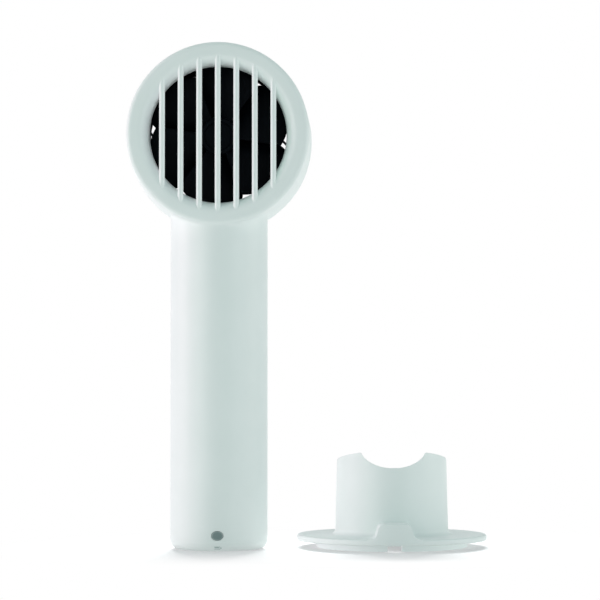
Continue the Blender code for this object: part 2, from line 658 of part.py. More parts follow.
def rear_shell(tools):
    """Builds the rear half of the housing, with its bosses and openings."""
    shell = add_piece("rear_shell", handle_blank(), "white_plastic")
    join(shell, tools["drum"])
    cut(shell, tools["hollow"])
    cut(shell, tools["bore"])
    cut(shell, tools["pad_seat"])
    cut(shell, tools["front_half"])
    for index, height in enumerate((SHELL_SCREW_LOW_Z, SHELL_SCREW_HIGH_Z), 1):
        sleeve = SCREW_HEAD_RADIUS + GAP
        outer = sleeve + SHELL_BOSS_WALL
        boss = rod(outer, GAP / 2, HANDLE_INNER_RADIUS + SINK, ROUND_STEPS, (0, height))
        join(shell, add_tool(f"tool_rear_boss_{index}", boss))
        well = rod(sleeve, SHELL_SCREW_HEAD_Y - GAP, HANDLE_RADIUS + OVERRUN, ROUND_STEPS, (0, height))
        cut(shell, add_tool(f"tool_screw_well_{index}", well))
        hole = rod(SCREW_RADIUS + GAP, -OVERRUN, SHELL_SCREW_HEAD_Y, SMALL_STEPS, (0, height))
        cut(shell, add_tool(f"tool_screw_hole_{index}", hole))
    face = CELL_Y + TRAY_WALL + GAP
    bosses = bmesh.new()
    pilots = bmesh.new()
    for side, height in TRAY_EAR_PLACES:
        centre = (side * TRAY_EAR_X, height)
        add_prism(bosses, circle(centre, TRAY_BOSS_RADIUS, SMALL_STEPS), face, HANDLE_RADIUS, "Y")
        outline = circle(centre, SMALL_SCREW_RADIUS + GAP, SMALL_STEPS)
        add_prism(pilots, outline, face - OVERRUN, face + 2 * SMALL_SCREW_BITE, "Y")
    for body in (bosses, pilots):
        bmesh.ops.recalc_face_normals(body, faces=body.faces)
    tray_bosses = add_tool("tool_tray_bosses", bosses)
    middle = prism(circle((0, 0), HANDLE_RADIUS - SHELL_WALL / 2, TUBE_STEPS), 0, TRAY_TOP_Z)
    trim(tray_bosses, add_tool("tool_boss_trim", middle))
    join(shell, tray_bosses)
    cut(shell, add_tool("tool_tray_pilots", pilots))
    opening = rounded_rectangle(
        SOCKET_WIDTH / 2 + GAP,
        SOCKET_HEIGHT / 2 + GAP,
        SOCKET_HEIGHT / 2 + GAP - MERGE_DISTANCE,
        CORNER_STEPS,
        (0, SOCKET_Z),
    )
    cut(shell, add_tool("tool_socket_window", prism(opening, PART_SEAT_Y, HANDLE_RADIUS + OVERRUN, "Y")))
    hole = rod(BUTTON_RADIUS + GAP, PART_SEAT_Y, HANDLE_RADIUS + OVERRUN, 2 * ROUND_STEPS, (0, BUTTON_Z))
    cut(shell, add_tool("tool_button_hole", hole))
    return shell


def air_duct():
    """Builds the black duct round the rotor, with the struts and cup that carry the motor."""
    wall = [
        (DUCT_INNER_RADIUS, DUCT_FRONT_Y),
        (DUCT_OUTER_RADIUS, DUCT_FRONT_Y),
        (DUCT_OUTER_RADIUS, DUCT_REAR_Y),
        (DUCT_INNER_RADIUS, DUCT_REAR_Y),
    ]
    duct = add_piece("air_duct", turned(wall, HEAD_STEPS, "Y"), "black_plastic", HEAD_CENTRE)
    cup_inner = MOTOR_RADIUS + GAP
    cup_outer = cup_inner + CUP_WALL
    cup = [
        (BUSH_RADIUS + GAP, CUP_PLATE_Y),
        (cup_outer, CUP_PLATE_Y),
        (cup_outer, CUP_PLATE_Y + CUP_DEPTH),
        (cup_inner, CUP_PLATE_Y + CUP_DEPTH),
        (cup_inner, CUP_PLATE_Y + CUP_PLATE),
        (BUSH_RADIUS + GAP, CUP_PLATE_Y + CUP_PLATE),
    ]
    struts = bmesh.new()
    for index in range(STRUT_COUNT):
        turn = math.pi / 2 + index * math.tau / STRUT_COUNT
        along = Vector((math.cos(turn), math.sin(turn)))
        aside = Vector((-along.y, along.x)) * STRUT_THICKNESS / 2
        near = along * (cup_outer - CUP_WALL / 2)
        far = along * (DUCT_INNER_RADIUS + DUCT_WALL / 2)
        outline = [tuple(near - aside), tuple(far - aside), tuple(far + aside), tuple(near + aside)]
        add_prism(struts, outline, STRUT_FRONT_Y, STRUT_FRONT_Y + STRUT_DEPTH, "Y")
    bmesh.ops.recalc_face_normals(struts, faces=struts.faces)
    join(duct, add_tool("tool_struts", struts, HEAD_CENTRE))
    join(duct, add_tool("tool_motor_cup", turned(cup, HEAD_STEPS, "Y"), HEAD_CENTRE))
    for side, hand in ((-1, "left"), (1, "right")):
        hole = rod(
            SMALL_SCREW_RADIUS + GAP,
            CUP_PLATE_Y - OVERRUN,
            CUP_PLATE_Y + CUP_PLATE + OVERRUN,
            SMALL_STEPS,
            (side * MOTOR_SCREW_PITCH_RADIUS, 0),
        )
        cut(duct, add_tool(f"tool_cup_hole_{hand}", hole, HEAD_CENTRE))
    low = (-DUCT_NOTCH_WIDTH / 2, DUCT_REAR_Y - DUCT_NOTCH_DEPTH, -DUCT_OUTER_RADIUS - OVERRUN)
    high = (DUCT_NOTCH_WIDTH / 2, DUCT_REAR_Y + OVERRUN, -DUCT_INNER_RADIUS * 2 / 3)
    cut(duct, add_tool("tool_duct_notch", block(low, high), HEAD_CENTRE))
    return duct


def swept_bar(inner_radius, outer_radius, start_turn):
    """Returns the outline of one guard bar, swept sideways as it runs outwards."""
    left, right = [], []
    for step in range(GUARD_BAR_STEPS + 1):
        share = step / GUARD_BAR_STEPS
        radius = inner_radius + (outer_radius - inner_radius) * share
        turn = start_turn + GUARD_SWEEP * share * share
        half_turn = GUARD_BAR_WIDTH / 2 / radius
        left.append((radius * math.cos(turn + half_turn), radius * math.sin(turn + half_turn)))
        right.append((radius * math.cos(turn - half_turn), radius * math.sin(turn - half_turn)))
    return right + left[::-1]


def rear_guard():
    """Builds the black guard over the air inlet: rim, swept bars, middle ring and centre cap."""
    rim_inner = REAR_OPENING_RADIUS - GAP - GUARD_RING_WIDTH
    rim_outer = REAR_OPENING_RADIUS + GUARD_RIM_WIDTH
    rim_front_y = DUCT_REAR_Y + GAP
    rim_rear_y = HEAD_REAR_Y - SHELL_WALL - GAP
    rim = [
        (rim_inner, rim_front_y),
        (rim_outer, rim_front_y),
        (rim_outer, rim_rear_y),
        (REAR_OPENING_RADIUS - GAP, rim_rear_y),
        (REAR_OPENING_RADIUS - GAP, GUARD_REAR_Y),
        (rim_inner, GUARD_REAR_Y),
    ]
    guard = add_piece("rear_guard", turned(rim, HEAD_STEPS, "Y"), "black_plastic", HEAD_CENTRE)
    bars = bmesh.new()
    bar_inner = GUARD_CAP_RADIUS - GUARD_BAR_WIDTH
    bar_outer = rim_inner + GUARD_RING_WIDTH / 2
    for index in range(GUARD_BAR_COUNT):
        start = GUARD_PHASE - GUARD_SWEEP + index * math.tau / GUARD_BAR_COUNT
        outline = swept_bar(bar_inner, bar_outer, start)
        add_prism(bars, outline, GUARD_BAR_FRONT_Y, GUARD_REAR_Y - SINK, "Y")
    bmesh.ops.recalc_face_normals(bars, faces=bars.faces)
    cap_front_y = GUARD_REAR_Y - GUARD_CAP_THICKNESS
    cap = [
        (0, cap_front_y),
        (GUARD_CAP_RADIUS, cap_front_y),
        (GUARD_CAP_RADIUS, GUARD_REAR_Y - SINK / 2),
        (GUARD_CAP_RADIUS - SINK / 2, GUARD_REAR_Y),
        (0, GUARD_REAR_Y),
    ]
    half = GUARD_RING_WIDTH / 2
    ring = [
        (GUARD_RING_RADIUS - half, GUARD_BAR_FRONT_Y + SINK),
        (GUARD_RING_RADIUS + half, GUARD_BAR_FRONT_Y + SINK),
        (GUARD_RING_RADIUS + half, GUARD_REAR_Y - 2 * SINK),
        (GUARD_RING_RADIUS - half, GUARD_REAR_Y - 2 * SINK),
    ]
    bars_tool = add_tool("tool_guard_bars", bars, HEAD_CENTRE)
    join(bars_tool, add_tool("tool_guard_ring", turned(ring, HEAD_STEPS, "Y"), HEAD_CENTRE))
    join(bars_tool, add_tool("tool_guard_cap", turned(cap, HEAD_STEPS, "Y"), HEAD_CENTRE))
    join(guard, bars_tool)
    return guard


def blade_reach(turn):
    """Returns how far a blade reaches at an angle from its front edge; both tip corners are round."""
    if turn < BLADE_FRONT_SPAN:
        share = math.sin(math.pi / 2 * turn / BLADE_FRONT_SPAN)
        return BLADE_FRONT_CORNER_RADIUS + (BLADE_TIP_RADIUS - BLADE_FRONT_CORNER_RADIUS) * share
    past = turn - (BLADE_SPAN - BLADE_REAR_SPAN)
    if past <= 0:
        return BLADE_TIP_RADIUS
    share = (past / BLADE_REAR_SPAN) ** 2
    return BLADE_TIP_RADIUS - (BLADE_TIP_RADIUS - BLADE_REAR_CORNER_RADIUS) * share


def blade_grid(start_turn, offset_share):
    """Returns the rows of one blade face, offset along the axis by a share of its thickness."""
    front_y = HUB_FACE_Y + BLADE_THICKNESS / 2
    root = HUB_RADIUS - HUB_WALL / 2
    rows = []
    for step in range(BLADE_SPAN_STEPS + 1):
        share = step / BLADE_SPAN_STEPS
        turn = BLADE_SPAN * share
        slope_y = BLADE_DEPTH * (share - BLADE_CAMBER_SHARE * math.sin(math.pi * share))
        row = []
        for reach in range(BLADE_REACH_STEPS + 1):
            radius = root + (blade_reach(turn) - root) * reach / BLADE_REACH_STEPS
            steepness = math.hypot(1, BLADE_DEPTH / (BLADE_SPAN * radius))
            depth_y = front_y + slope_y + offset_share * BLADE_THICKNESS * steepness
            around = start_turn + turn
            row.append(Vector((radius * math.cos(around), depth_y, radius * math.sin(around))))
        rows.append(row)
    return rows


def add_blade(body, start_turn):
    """Adds one closed blade to body."""
    sides = []
    for offset_share in (-0.5, 0.5):
        grid = blade_grid(start_turn, offset_share)
        sides.append([[body.verts.new(point) for point in row] for row in grid])
    near, far = sides
    for i in range(BLADE_SPAN_STEPS):
        for j in range(BLADE_REACH_STEPS):
            body.faces.new((near[i][j], near[i + 1][j], near[i + 1][j + 1], near[i][j + 1]))
            body.faces.new((far[i][j], far[i][j + 1], far[i + 1][j + 1], far[i + 1][j]))
    last_i, last_j = BLADE_SPAN_STEPS, BLADE_REACH_STEPS
    for i in range(last_i):
        body.faces.new((near[i][0], far[i][0], far[i + 1][0], near[i + 1][0]))
        body.faces.new((near[i][last_j], near[i + 1][last_j], far[i + 1][last_j], far[i][last_j]))
    for j in range(last_j):
        body.faces.new((near[0][j], near[0][j + 1], far[0][j + 1], far[0][j]))
        body.faces.new((near[last_i][j], far[last_i][j], far[last_i][j + 1], near[last_i][j + 1]))


def fan_rotor():
    """Builds the rotor: a hub with a blind bore for the shaft, and six broad blades."""
    rear_y = HUB_FACE_Y + HUB_LENGTH
    bore_y = HUB_FACE_Y + HUB_WALL
    hub = [
        (0, HUB_FACE_Y),
        (HUB_RADIUS * 2 / 3, HUB_FACE_Y + HUB_DOME / 4),
        (HUB_RADIUS - HUB_DOME / 2, HUB_FACE_Y + HUB_DOME / 2),
        (HUB_RADIUS, HUB_FACE_Y + HUB_DOME),
        (HUB_RADIUS, rear_y),
        (SHAFT_BORE_RADIUS, rear_y),
        (SHAFT_BORE_RADIUS, bore_y),
        (0, bore_y),
    ]
    rotor = add_piece("fan_rotor", turned(hub, 2 * ROUND_STEPS, "Y"), "black_plastic", HEAD_CENTRE)
    blades = bmesh.new()
    for index in range(BLADE_COUNT):
        add_blade(blades, BLADE_PHASE + index * math.tau / BLADE_COUNT)
    bmesh.ops.recalc_face_normals(blades, faces=blades.faces)
    join(rotor, add_tool("tool_blades", blades, HEAD_CENTRE))
    return rotor


def pole_outline():
    """Returns the armature's outline: a core with a neck and a wide shoe for each pole."""
    outline = []
    half_shoe = ARMATURE_SHOE_ANGLE / 2
    shoe_inner = ARMATURE_RADIUS - ARMATURE_SHOE_THICKNESS
    for index in range(ARMATURE_POLES):
        middle = math.pi / 2 + index * math.tau / ARMATURE_POLES
        neck_inner = math.asin(ARMATURE_NECK_WIDTH / 2 / ARMATURE_CORE_RADIUS)
        neck_outer = math.asin(ARMATURE_NECK_WIDTH / 2 / shoe_inner)
        outline += arc((0, 0), (ARMATURE_CORE_RADIUS,) * 2, middle - neck_inner, middle - neck_inner, 1)[:1]
        outline += arc((0, 0), (shoe_inner,) * 2, middle - neck_outer, middle - half_shoe, CORNER_STEPS)
        shoe = (middle - half_shoe, middle + half_shoe)
        outline += arc((0, 0), (ARMATURE_RADIUS,) * 2, *shoe, 3 * CORNER_STEPS)
        outline += arc((0, 0), (shoe_inner,) * 2, middle + half_shoe, middle + neck_outer, CORNER_STEPS)
        outline += arc((0, 0), (ARMATURE_CORE_RADIUS,) * 2, middle + neck_inner, middle + neck_inner, 1)[:1]
    return outline


def motor():
    """Builds the direct-current motor that hangs in the duct's cup."""
    can = [
        (BUSH_RADIUS + GAP, MOTOR_FRONT_Y),
        (MOTOR_RADIUS - MOTOR_WALL / 2, MOTOR_FRONT_Y),
        (MOTOR_RADIUS, MOTOR_FRONT_Y + MOTOR_WALL / 2),
        (MOTOR_RADIUS, MOTOR_REAR_Y),
        (MOTOR_INNER_RADIUS, MOTOR_REAR_Y),
        (MOTOR_INNER_RADIUS, MOTOR_FRONT_Y + MOTOR_WALL),
        (BUSH_RADIUS + GAP, MOTOR_FRONT_Y + MOTOR_WALL),
    ]
    case = add_piece("motor_can", turned(can, 2 * ROUND_STEPS, "Y"), "zinc", HEAD_CENTRE)
    for side, hand in ((-1, "left"), (1, "right")):
        centre = (side * MOTOR_SCREW_PITCH_RADIUS, 0)
        hole = rod(
            SMALL_SCREW_RADIUS + GAP,
            MOTOR_FRONT_Y - OVERRUN,
            MOTOR_FRONT_Y + MOTOR_WALL + OVERRUN,
            SMALL_STEPS,
            centre,
        )
        cut(case, add_tool(f"tool_can_hole_{hand}", hole, HEAD_CENTRE))
        under_head_y = CUP_PLATE_Y - GAP
        tip_y = MOTOR_FRONT_Y + MOTOR_WALL + SINK
        screw(f"motor_screw_{hand}", centre, under_head_y, tip_y, SMALL_SCREW_RADIUS, HEAD_CENTRE)
    magnet_low = MOTOR_FRONT_Y + MOTOR_WALL + MAGNET_INSET
    magnet_high = END_CAP_Y - GAP
    magnet = rectangle(MAGNET_INNER_RADIUS, MAGNET_OUTER_RADIUS, magnet_low, magnet_high)
    add_piece("motor_magnet", turned(magnet, 2 * ROUND_STEPS, "Y"), "magnet", HEAD_CENTRE)

    core = prism(pole_outline(), ARMATURE_FRONT_Y, ARMATURE_FRONT_Y + ARMATURE_LENGTH, "Y")
    armature = add_piece("motor_armature", core, "steel", HEAD_CENTRE)
    bore = rod(SHAFT_BORE_RADIUS, ARMATURE_FRONT_Y - OVERRUN, COMMUTATOR_Y + OVERRUN, SMALL_STEPS)
    cut(armature, add_tool("tool_armature_bore", bore, HEAD_CENTRE))
    collar = rectangle(SHAFT_BORE_RADIUS, COMMUTATOR_RADIUS, COMMUTATOR_Y, COMMUTATOR_Y + COMMUTATOR_LENGTH)
    add_piece("motor_commutator", turned(collar, ROUND_STEPS, "Y"), "bronze", HEAD_CENTRE)

    shaft_front_y = HUB_FACE_Y + HUB_WALL + GAP
    shaft_rear_y = END_CAP_Y + BUSH_LENGTH - SHAFT_TAIL / 2
    shaft = rod(SHAFT_RADIUS, shaft_front_y, shaft_rear_y, ROUND_STEPS)
    add_piece("motor_shaft", shaft, "steel", HEAD_CENTRE)
    for name, front_y in (("motor_front_bush", BUSH_FRONT_Y), ("motor_rear_bush", REAR_BUSH_Y)):
        bush = rectangle(SHAFT_BORE_RADIUS, BUSH_RADIUS, front_y, front_y + BUSH_LENGTH)
        add_piece(name, turned(bush, ROUND_STEPS, "Y"), "bronze", HEAD_CENTRE)

    cap = rectangle(BUSH_RADIUS + GAP, MOTOR_INNER_RADIUS - GAP, END_CAP_Y, END_CAP_Y + END_CAP_THICKNESS)
    end_cap = add_piece("motor_end_cap", turned(cap, 2 * ROUND_STEPS, "Y"), "black_plastic", HEAD_CENTRE)
    for side, hand in ((-1, "left"), (1, "right")):
        inner_x = COMMUTATOR_RADIUS + GAP
        heel_y = END_CAP_Y - GAP - BRUSH_THICKNESS
        outline = [
            (side * inner_x, heel_y),
            (side * BRUSH_X, heel_y),
            (side * BRUSH_X, END_CAP_Y + END_CAP_THICKNESS + BRUSH_TAIL),
            (side * (BRUSH_X - BRUSH_THICKNESS), END_CAP_Y + END_CAP_THICKNESS + BRUSH_TAIL),
            (side * (BRUSH_X - BRUSH_THICKNESS), heel_y + BRUSH_THICKNESS),
            (side * inner_x, heel_y + BRUSH_THICKNESS),
        ]
        strip = prism(outline, -BRUSH_WIDTH / 2, BRUSH_WIDTH / 2)
        add_piece(f"motor_brush_{hand}", strip, "bronze", HEAD_CENTRE)
        inner = side * (BRUSH_X - BRUSH_THICKNESS - GAP)
        outer = side * (BRUSH_X + GAP)
        low = (min(inner, outer), END_CAP_Y - OVERRUN, -BRUSH_WIDTH / 2 - GAP)
        high = (max(inner, outer), END_CAP_Y + END_CAP_THICKNESS + OVERRUN, BRUSH_WIDTH / 2 + GAP)
        cut(end_cap, add_tool(f"tool_brush_slot_{hand}", block(low, high), HEAD_CENTRE))


def screw(name, centre, head_y, tip_y, shank_radius, place=ORIGIN):
    """Builds a round-headed screw along Y; its head's underside is at head_y and it points to tip_y."""
    large = shank_radius > SMALL_SCREW_RADIUS
    head = SCREW_HEAD_RADIUS if large else SMALL_SCREW_HEAD_RADIUS
    head_length = SCREW_HEAD_THICKNESS if large else SMALL_SCREW_HEAD_THICKNESS
    way = 1 if tip_y > head_y else -1
    top_y = head_y - way * head_length
    profile = [
        (0, top_y + way * head_length / 2),
        (shank_radius, top_y + way * head_length / 2),
        (shank_radius, top_y),
        (head - head_length / 3, top_y),
        (head, top_y + way * head_length / 2),
        (head, head_y),
        (shank_radius, head_y),
        (shank_radius, tip_y - way * shank_radius),
        (0, tip_y),
    ]
    middle = Vector((centre[0], 0, centre[1]))
    return add_piece(name, turned(profile, SMALL_STEPS, "Y"), "steel", middle + Vector(place))


def battery():
    """Builds the cell, its tray with end walls and ears, and its two contact strips."""
    axis = Vector((0, CELL_Y, 0))
    quarter = math.pi / 2
    edge = (CELL_EDGE_ROUND, CELL_EDGE_ROUND)
    inner = CELL_RADIUS - CELL_EDGE_ROUND
    profile = [(0, CELL_BASE_Z)]
    profile += arc((inner, CELL_BASE_Z + CELL_EDGE_ROUND), edge, -quarter, 0, 2)
    profile += arc((inner, CELL_TOP_Z - CELL_EDGE_ROUND), edge, 0, quarter, 2)
    profile += [
        (CELL_BUTTON_RADIUS, CELL_TOP_Z),
        (CELL_BUTTON_RADIUS, CELL_TOP_Z + CELL_BUTTON_HEIGHT),
        (0, CELL_TOP_Z + CELL_BUTTON_HEIGHT),
    ]
    add_piece("battery_cell", turned(profile, 2 * ROUND_STEPS), "cell_sleeve", axis)

    blank = prism(circle((0, 0), TRAY_OUTER_RADIUS, 2 * ROUND_STEPS), TRAY_BASE_Z, TRAY_TOP_Z)
    tray = add_piece("battery_tray", blank, "black_plastic", axis)
    low_z, high_z = TRAY_BASE_Z + TRAY_WALL, TRAY_TOP_Z - TRAY_WALL
    for index, (side, height) in enumerate(board_screw_places(), 1):
        face = BOARD_Y - GAP - CELL_Y
        centre = (side * BOARD_SCREW_X, height)
        boss = rod(TRAY_BOSS_RADIUS, CELL_RADIUS / 2, face, SMALL_STEPS, centre)
        join(tray, add_tool(f"tool_board_boss_{index}", boss, axis))
        hole = rod(SMALL_SCREW_RADIUS + GAP, face - SMALL_SCREW_BITE, face + OVERRUN, SMALL_STEPS, centre)
        cut(tray, add_tool(f"tool_board_pilot_{index}", hole, axis))
    bore = prism(circle((0, 0), TRAY_INNER_RADIUS, 2 * ROUND_STEPS), low_z, high_z)
    cut(tray, add_tool("tool_tray_bore", bore, axis))
    reach = TRAY_OUTER_RADIUS + OVERRUN
    cut(tray, add_tool("tool_tray_front", block((-reach, -reach, low_z), (reach, 0, high_z)), axis))
    for index, (side, height) in enumerate(TRAY_EAR_PLACES, 1):
        inner_x = side * (TRAY_INNER_RADIUS + TRAY_WALL / 2)
        outer_x = side * (TRAY_EAR_X + TRAY_EAR_REACH)
        low = (min(inner_x, outer_x), 0, height - TRAY_EAR_HALF_HEIGHT)
        high = (max(inner_x, outer_x), TRAY_WALL, height + TRAY_EAR_HALF_HEIGHT)
        join(tray, add_tool(f"tool_tray_ear_{index}", block(low, high), axis))
        centre = (side * TRAY_EAR_X, height)
        hole = rod(SMALL_SCREW_RADIUS + GAP, -OVERRUN, TRAY_WALL + OVERRUN, SMALL_STEPS, centre)
        cut(tray, add_tool(f"tool_tray_ear_hole_{index}", hole, axis))
        tip_y = CELL_Y + TRAY_WALL + SMALL_SCREW_BITE
        screw(f"tray_screw_{index}", centre, CELL_Y - GAP, tip_y, SMALL_SCREW_RADIUS)
    half = TRAY_WINDOW_WIDTH / 2
    windows = (
        ("low", low_z, low_z + TRAY_WINDOW_HEIGHT),
        ("high", high_z - TRAY_WINDOW_HEIGHT, high_z),
    )
    for name, low, high in windows:
        hole = block((-half, CELL_RADIUS / 2, low), (half, TRAY_OUTER_RADIUS + OVERRUN, high))
        cut(tray, add_tool(f"tool_tray_window_{name}", hole, axis))
    strips = (
        ("contact_negative", CELL_BASE_Z - GAP - TAB_THICKNESS),
        ("contact_positive", CELL_TOP_Z + CELL_BUTTON_HEIGHT + GAP),
    )
    for name, low in strips:
        outline = rectangle(-TAB_WIDTH / 2, TAB_WIDTH / 2, -CELL_RADIUS / 2, TRAY_OUTER_RADIUS - GAP)
        add_piece(name, prism(outline, low, low + TAB_THICKNESS), "steel", axis)


def board_screw_places():
    """Returns the side and height of each circuit board screw."""
    return [(-1, BOARD_SCREW_LOW_Z), (1, BOARD_SCREW_HIGH_Z)]


def circuit_board():
    """Builds the board with its screws and its two chips."""
    half = BOARD_WIDTH / 2
    low = (-half, BOARD_Y, BOARD_BASE_Z)
    board = add_piece("circuit_board", block(low, (half, BOARD_REAR_Y, BOARD_TOP_Z)), "board_green")
    for index, (side, height) in enumerate(board_screw_places(), 1):
        centre = (side * BOARD_SCREW_X, height)
        hole = rod(SMALL_SCREW_RADIUS + GAP, BOARD_Y - OVERRUN, BOARD_REAR_Y + OVERRUN, SMALL_STEPS, centre)
        cut(board, add_tool(f"tool_board_hole_{index}", hole))
        tip_y = BOARD_Y - GAP - SMALL_SCREW_BITE + 2 * GAP
        screw(f"board_screw_{index}", centre, BOARD_REAR_Y + GAP, tip_y, SMALL_SCREW_RADIUS)
    for name, height in (("charger_chip", CHARGER_Z), ("controller_chip", CONTROLLER_Z)):
        low = (-CHIP_WIDTH / 2, PART_SEAT_Y, height - CHIP_HEIGHT / 2)
        high = (CHIP_WIDTH / 2, PART_SEAT_Y + CHIP_THICKNESS, height + CHIP_HEIGHT / 2)
        add_piece(name, block(low, high), "black_plastic")


def coil_outline():
    """Returns the boost coil's outline, a square with chamfered corners."""
    half = COIL_WIDTH / 2
    return [
        (COIL_X - half + COIL_CHAMFER, COIL_Z - half),
        (COIL_X + half - COIL_CHAMFER, COIL_Z - half),
        (COIL_X + half, COIL_Z - half + COIL_CHAMFER),
        (COIL_X + half, COIL_Z + half - COIL_CHAMFER),
        (COIL_X + half - COIL_CHAMFER, COIL_Z + half),
        (COIL_X - half + COIL_CHAMFER, COIL_Z + half),
        (COIL_X - half, COIL_Z + half - COIL_CHAMFER),
        (COIL_X - half, COIL_Z - half + COIL_CHAMFER),
    ]


def board_parts():
    """Builds the taller parts on the board: coil, capacitor, socket, switch and indicator light."""
    coil = prism(coil_outline(), PART_SEAT_Y, PART_SEAT_Y + COIL_THICKNESS, "Y")
    add_piece("boost_coil", coil, "magnet")
    centre = (CAPACITOR_X, COIL_Z)
    can = rod(CAPACITOR_RADIUS, PART_SEAT_Y, PART_SEAT_Y + CAPACITOR_LENGTH, ROUND_STEPS, centre)
    add_piece("storage_capacitor", can, "zinc")

    mouth_y = HANDLE_RADIUS - SOCKET_RECESS
    place = (0, SOCKET_Z)
    outer = rounded_rectangle(
        SOCKET_WIDTH / 2, SOCKET_HEIGHT / 2, SOCKET_HEIGHT / 2 - MERGE_DISTANCE, CORNER_STEPS, place
    )
    socket = add_piece("charging_socket", prism(outer, PART_SEAT_Y, mouth_y, "Y"), "zinc")
    inner_half = SOCKET_HEIGHT / 2 - SOCKET_WALL
    inner = rounded_rectangle(
        SOCKET_WIDTH / 2 - SOCKET_WALL, inner_half, inner_half - MERGE_DISTANCE, CORNER_STEPS, place
    )
    floor_y = mouth_y - SOCKET_DEPTH
    cut(socket, add_tool("tool_socket_cavity", prism(inner, floor_y, mouth_y + OVERRUN, "Y")))
    low = (-TONGUE_WIDTH / 2, floor_y - SINK, SOCKET_Z - TONGUE_THICKNESS / 2)
    high = (TONGUE_WIDTH / 2, floor_y + TONGUE_LENGTH, SOCKET_Z + TONGUE_THICKNESS / 2)
    join(socket, add_tool("tool_socket_tongue", block(low, high)))

    half = SWITCH_WIDTH / 2
    switch_top_y = PART_SEAT_Y + SWITCH_THICKNESS
    low = (-half, PART_SEAT_Y, BUTTON_Z - half)
    body = block(low, (half, switch_top_y, BUTTON_Z + half))
    switch = add_piece("push_switch", body, "black_plastic")
    plunger_top_y = switch_top_y + PLUNGER_PROUD
    plunger_base_y = plunger_top_y - PLUNGER_LENGTH
    well_floor_y = plunger_base_y - BUTTON_TRAVEL - GAP
    well = rod(PLUNGER_RADIUS + GAP, well_floor_y, switch_top_y + OVERRUN, ROUND_STEPS, (0, BUTTON_Z))
    cut(switch, add_tool("tool_switch_well", well))
    slide_axis = Vector((0, 0, BUTTON_Z))
    plunger = rod(PLUNGER_RADIUS, plunger_base_y, plunger_top_y, ROUND_STEPS)
    add_piece("switch_plunger", plunger, "white_plastic", slide_axis)

    half = LED_WIDTH / 2
    low = (-half, BOARD_Y - GAP - LED_THICKNESS, LIGHT_Z - half)
    add_piece("indicator_led", block(low, (half, BOARD_Y - GAP, LIGHT_Z + half)), "white_plastic")
    return plunger_top_y


def light_pipe():
    """Builds the clear pipe that carries the indicator's light to the oval window."""
    face_y = -HANDLE_RADIUS + LIGHT_RECESS
    oval = arc((0, LIGHT_Z), (LIGHT_HALF_WIDTH, LIGHT_HALF_HEIGHT), 0, math.tau, ROUND_STEPS)[:-1]
    pipe = add_piece("light_pipe", prism(oval, face_y, face_y + LIGHT_HEAD_LENGTH, "Y"), "grey_lens")
    end_y = BOARD_Y - 2 * GAP - LED_THICKNESS
    core = rod(LIGHT_ROD_RADIUS, face_y + LIGHT_HEAD_LENGTH - SINK, end_y, ROUND_STEPS, (0, LIGHT_Z))
    join(pipe, add_tool("tool_light_rod", core))
    return pipe


def power_button(plunger_top_y):
    """Builds the round button, whose face follows the handle and whose stem meets the plunger."""
    stem_y = plunger_top_y + GAP
    face_y = HANDLE_RADIUS + BUTTON_PROUD
    profile = [
        (0, stem_y),
        (BUTTON_STEM_RADIUS, stem_y),
        (BUTTON_STEM_RADIUS, BUTTON_FLANGE_Y),
        (BUTTON_RADIUS + BUTTON_FLANGE, BUTTON_FLANGE_Y),
        (BUTTON_RADIUS + BUTTON_FLANGE, BUTTON_FLANGE_Y + BUTTON_FLANGE_THICKNESS),
        (BUTTON_RADIUS, BUTTON_FLANGE_Y + BUTTON_FLANGE_THICKNESS),
        (BUTTON_RADIUS, face_y + OVERRUN),
        (0, face_y + OVERRUN),
    ]
    place = Vector((0, 0, BUTTON_Z))
    button = add_piece("power_button", turned(profile, 2 * ROUND_STEPS, "Y"), "white_plastic", place)
    reach = BUTTON_RADIUS + BUTTON_FLANGE + OVERRUN
    trim(button, add_tool("tool_button_face", rod(face_y, -reach, reach, 2 * TUBE_STEPS, axis="Z"), place))
    return button


def smooth_route(points, steps):
    """Returns points on one smooth curve through the given points."""
    ends = [2 * points[0] - points[1]] + points + [2 * points[-1] - points[-2]]
    route = []
    for index in range(1, len(points)):
        before, here, after, beyond = ends[index - 1 : index + 3]
        for step in range(steps):
            share = step / steps
            bend = (2 * before - 5 * here + 4 * after - beyond) * share**2
            twist = (3 * here - before - 3 * after + beyond) * share**3
            route.append((2 * here + (after - before) * share + bend + twist) / 2)
    return route + [points[-1]]


def lead(name, places, finish):
    """Builds one insulated lead through the given places."""
    route = smooth_route([Vector(place) for place in places], LEAD_STEPS)
    path = bpy.data.curves.new(name, "CURVE")
    path.dimensions = "3D"
    path.bevel_depth = LEAD_RADIUS
    path.bevel_resolution = 2
    path.use_fill_caps = True
    spline = path.splines.new("POLY")
    spline.points.add(len(route) - 1)
    for point, place in zip(spline.points, route):
        point.co = (*place, 1.0)
    made = bpy.data.objects.new(name, path)
    made.data.materials.append(finish_material(name, finish))
    bpy.context.scene.collection.objects.link(made)
    return made


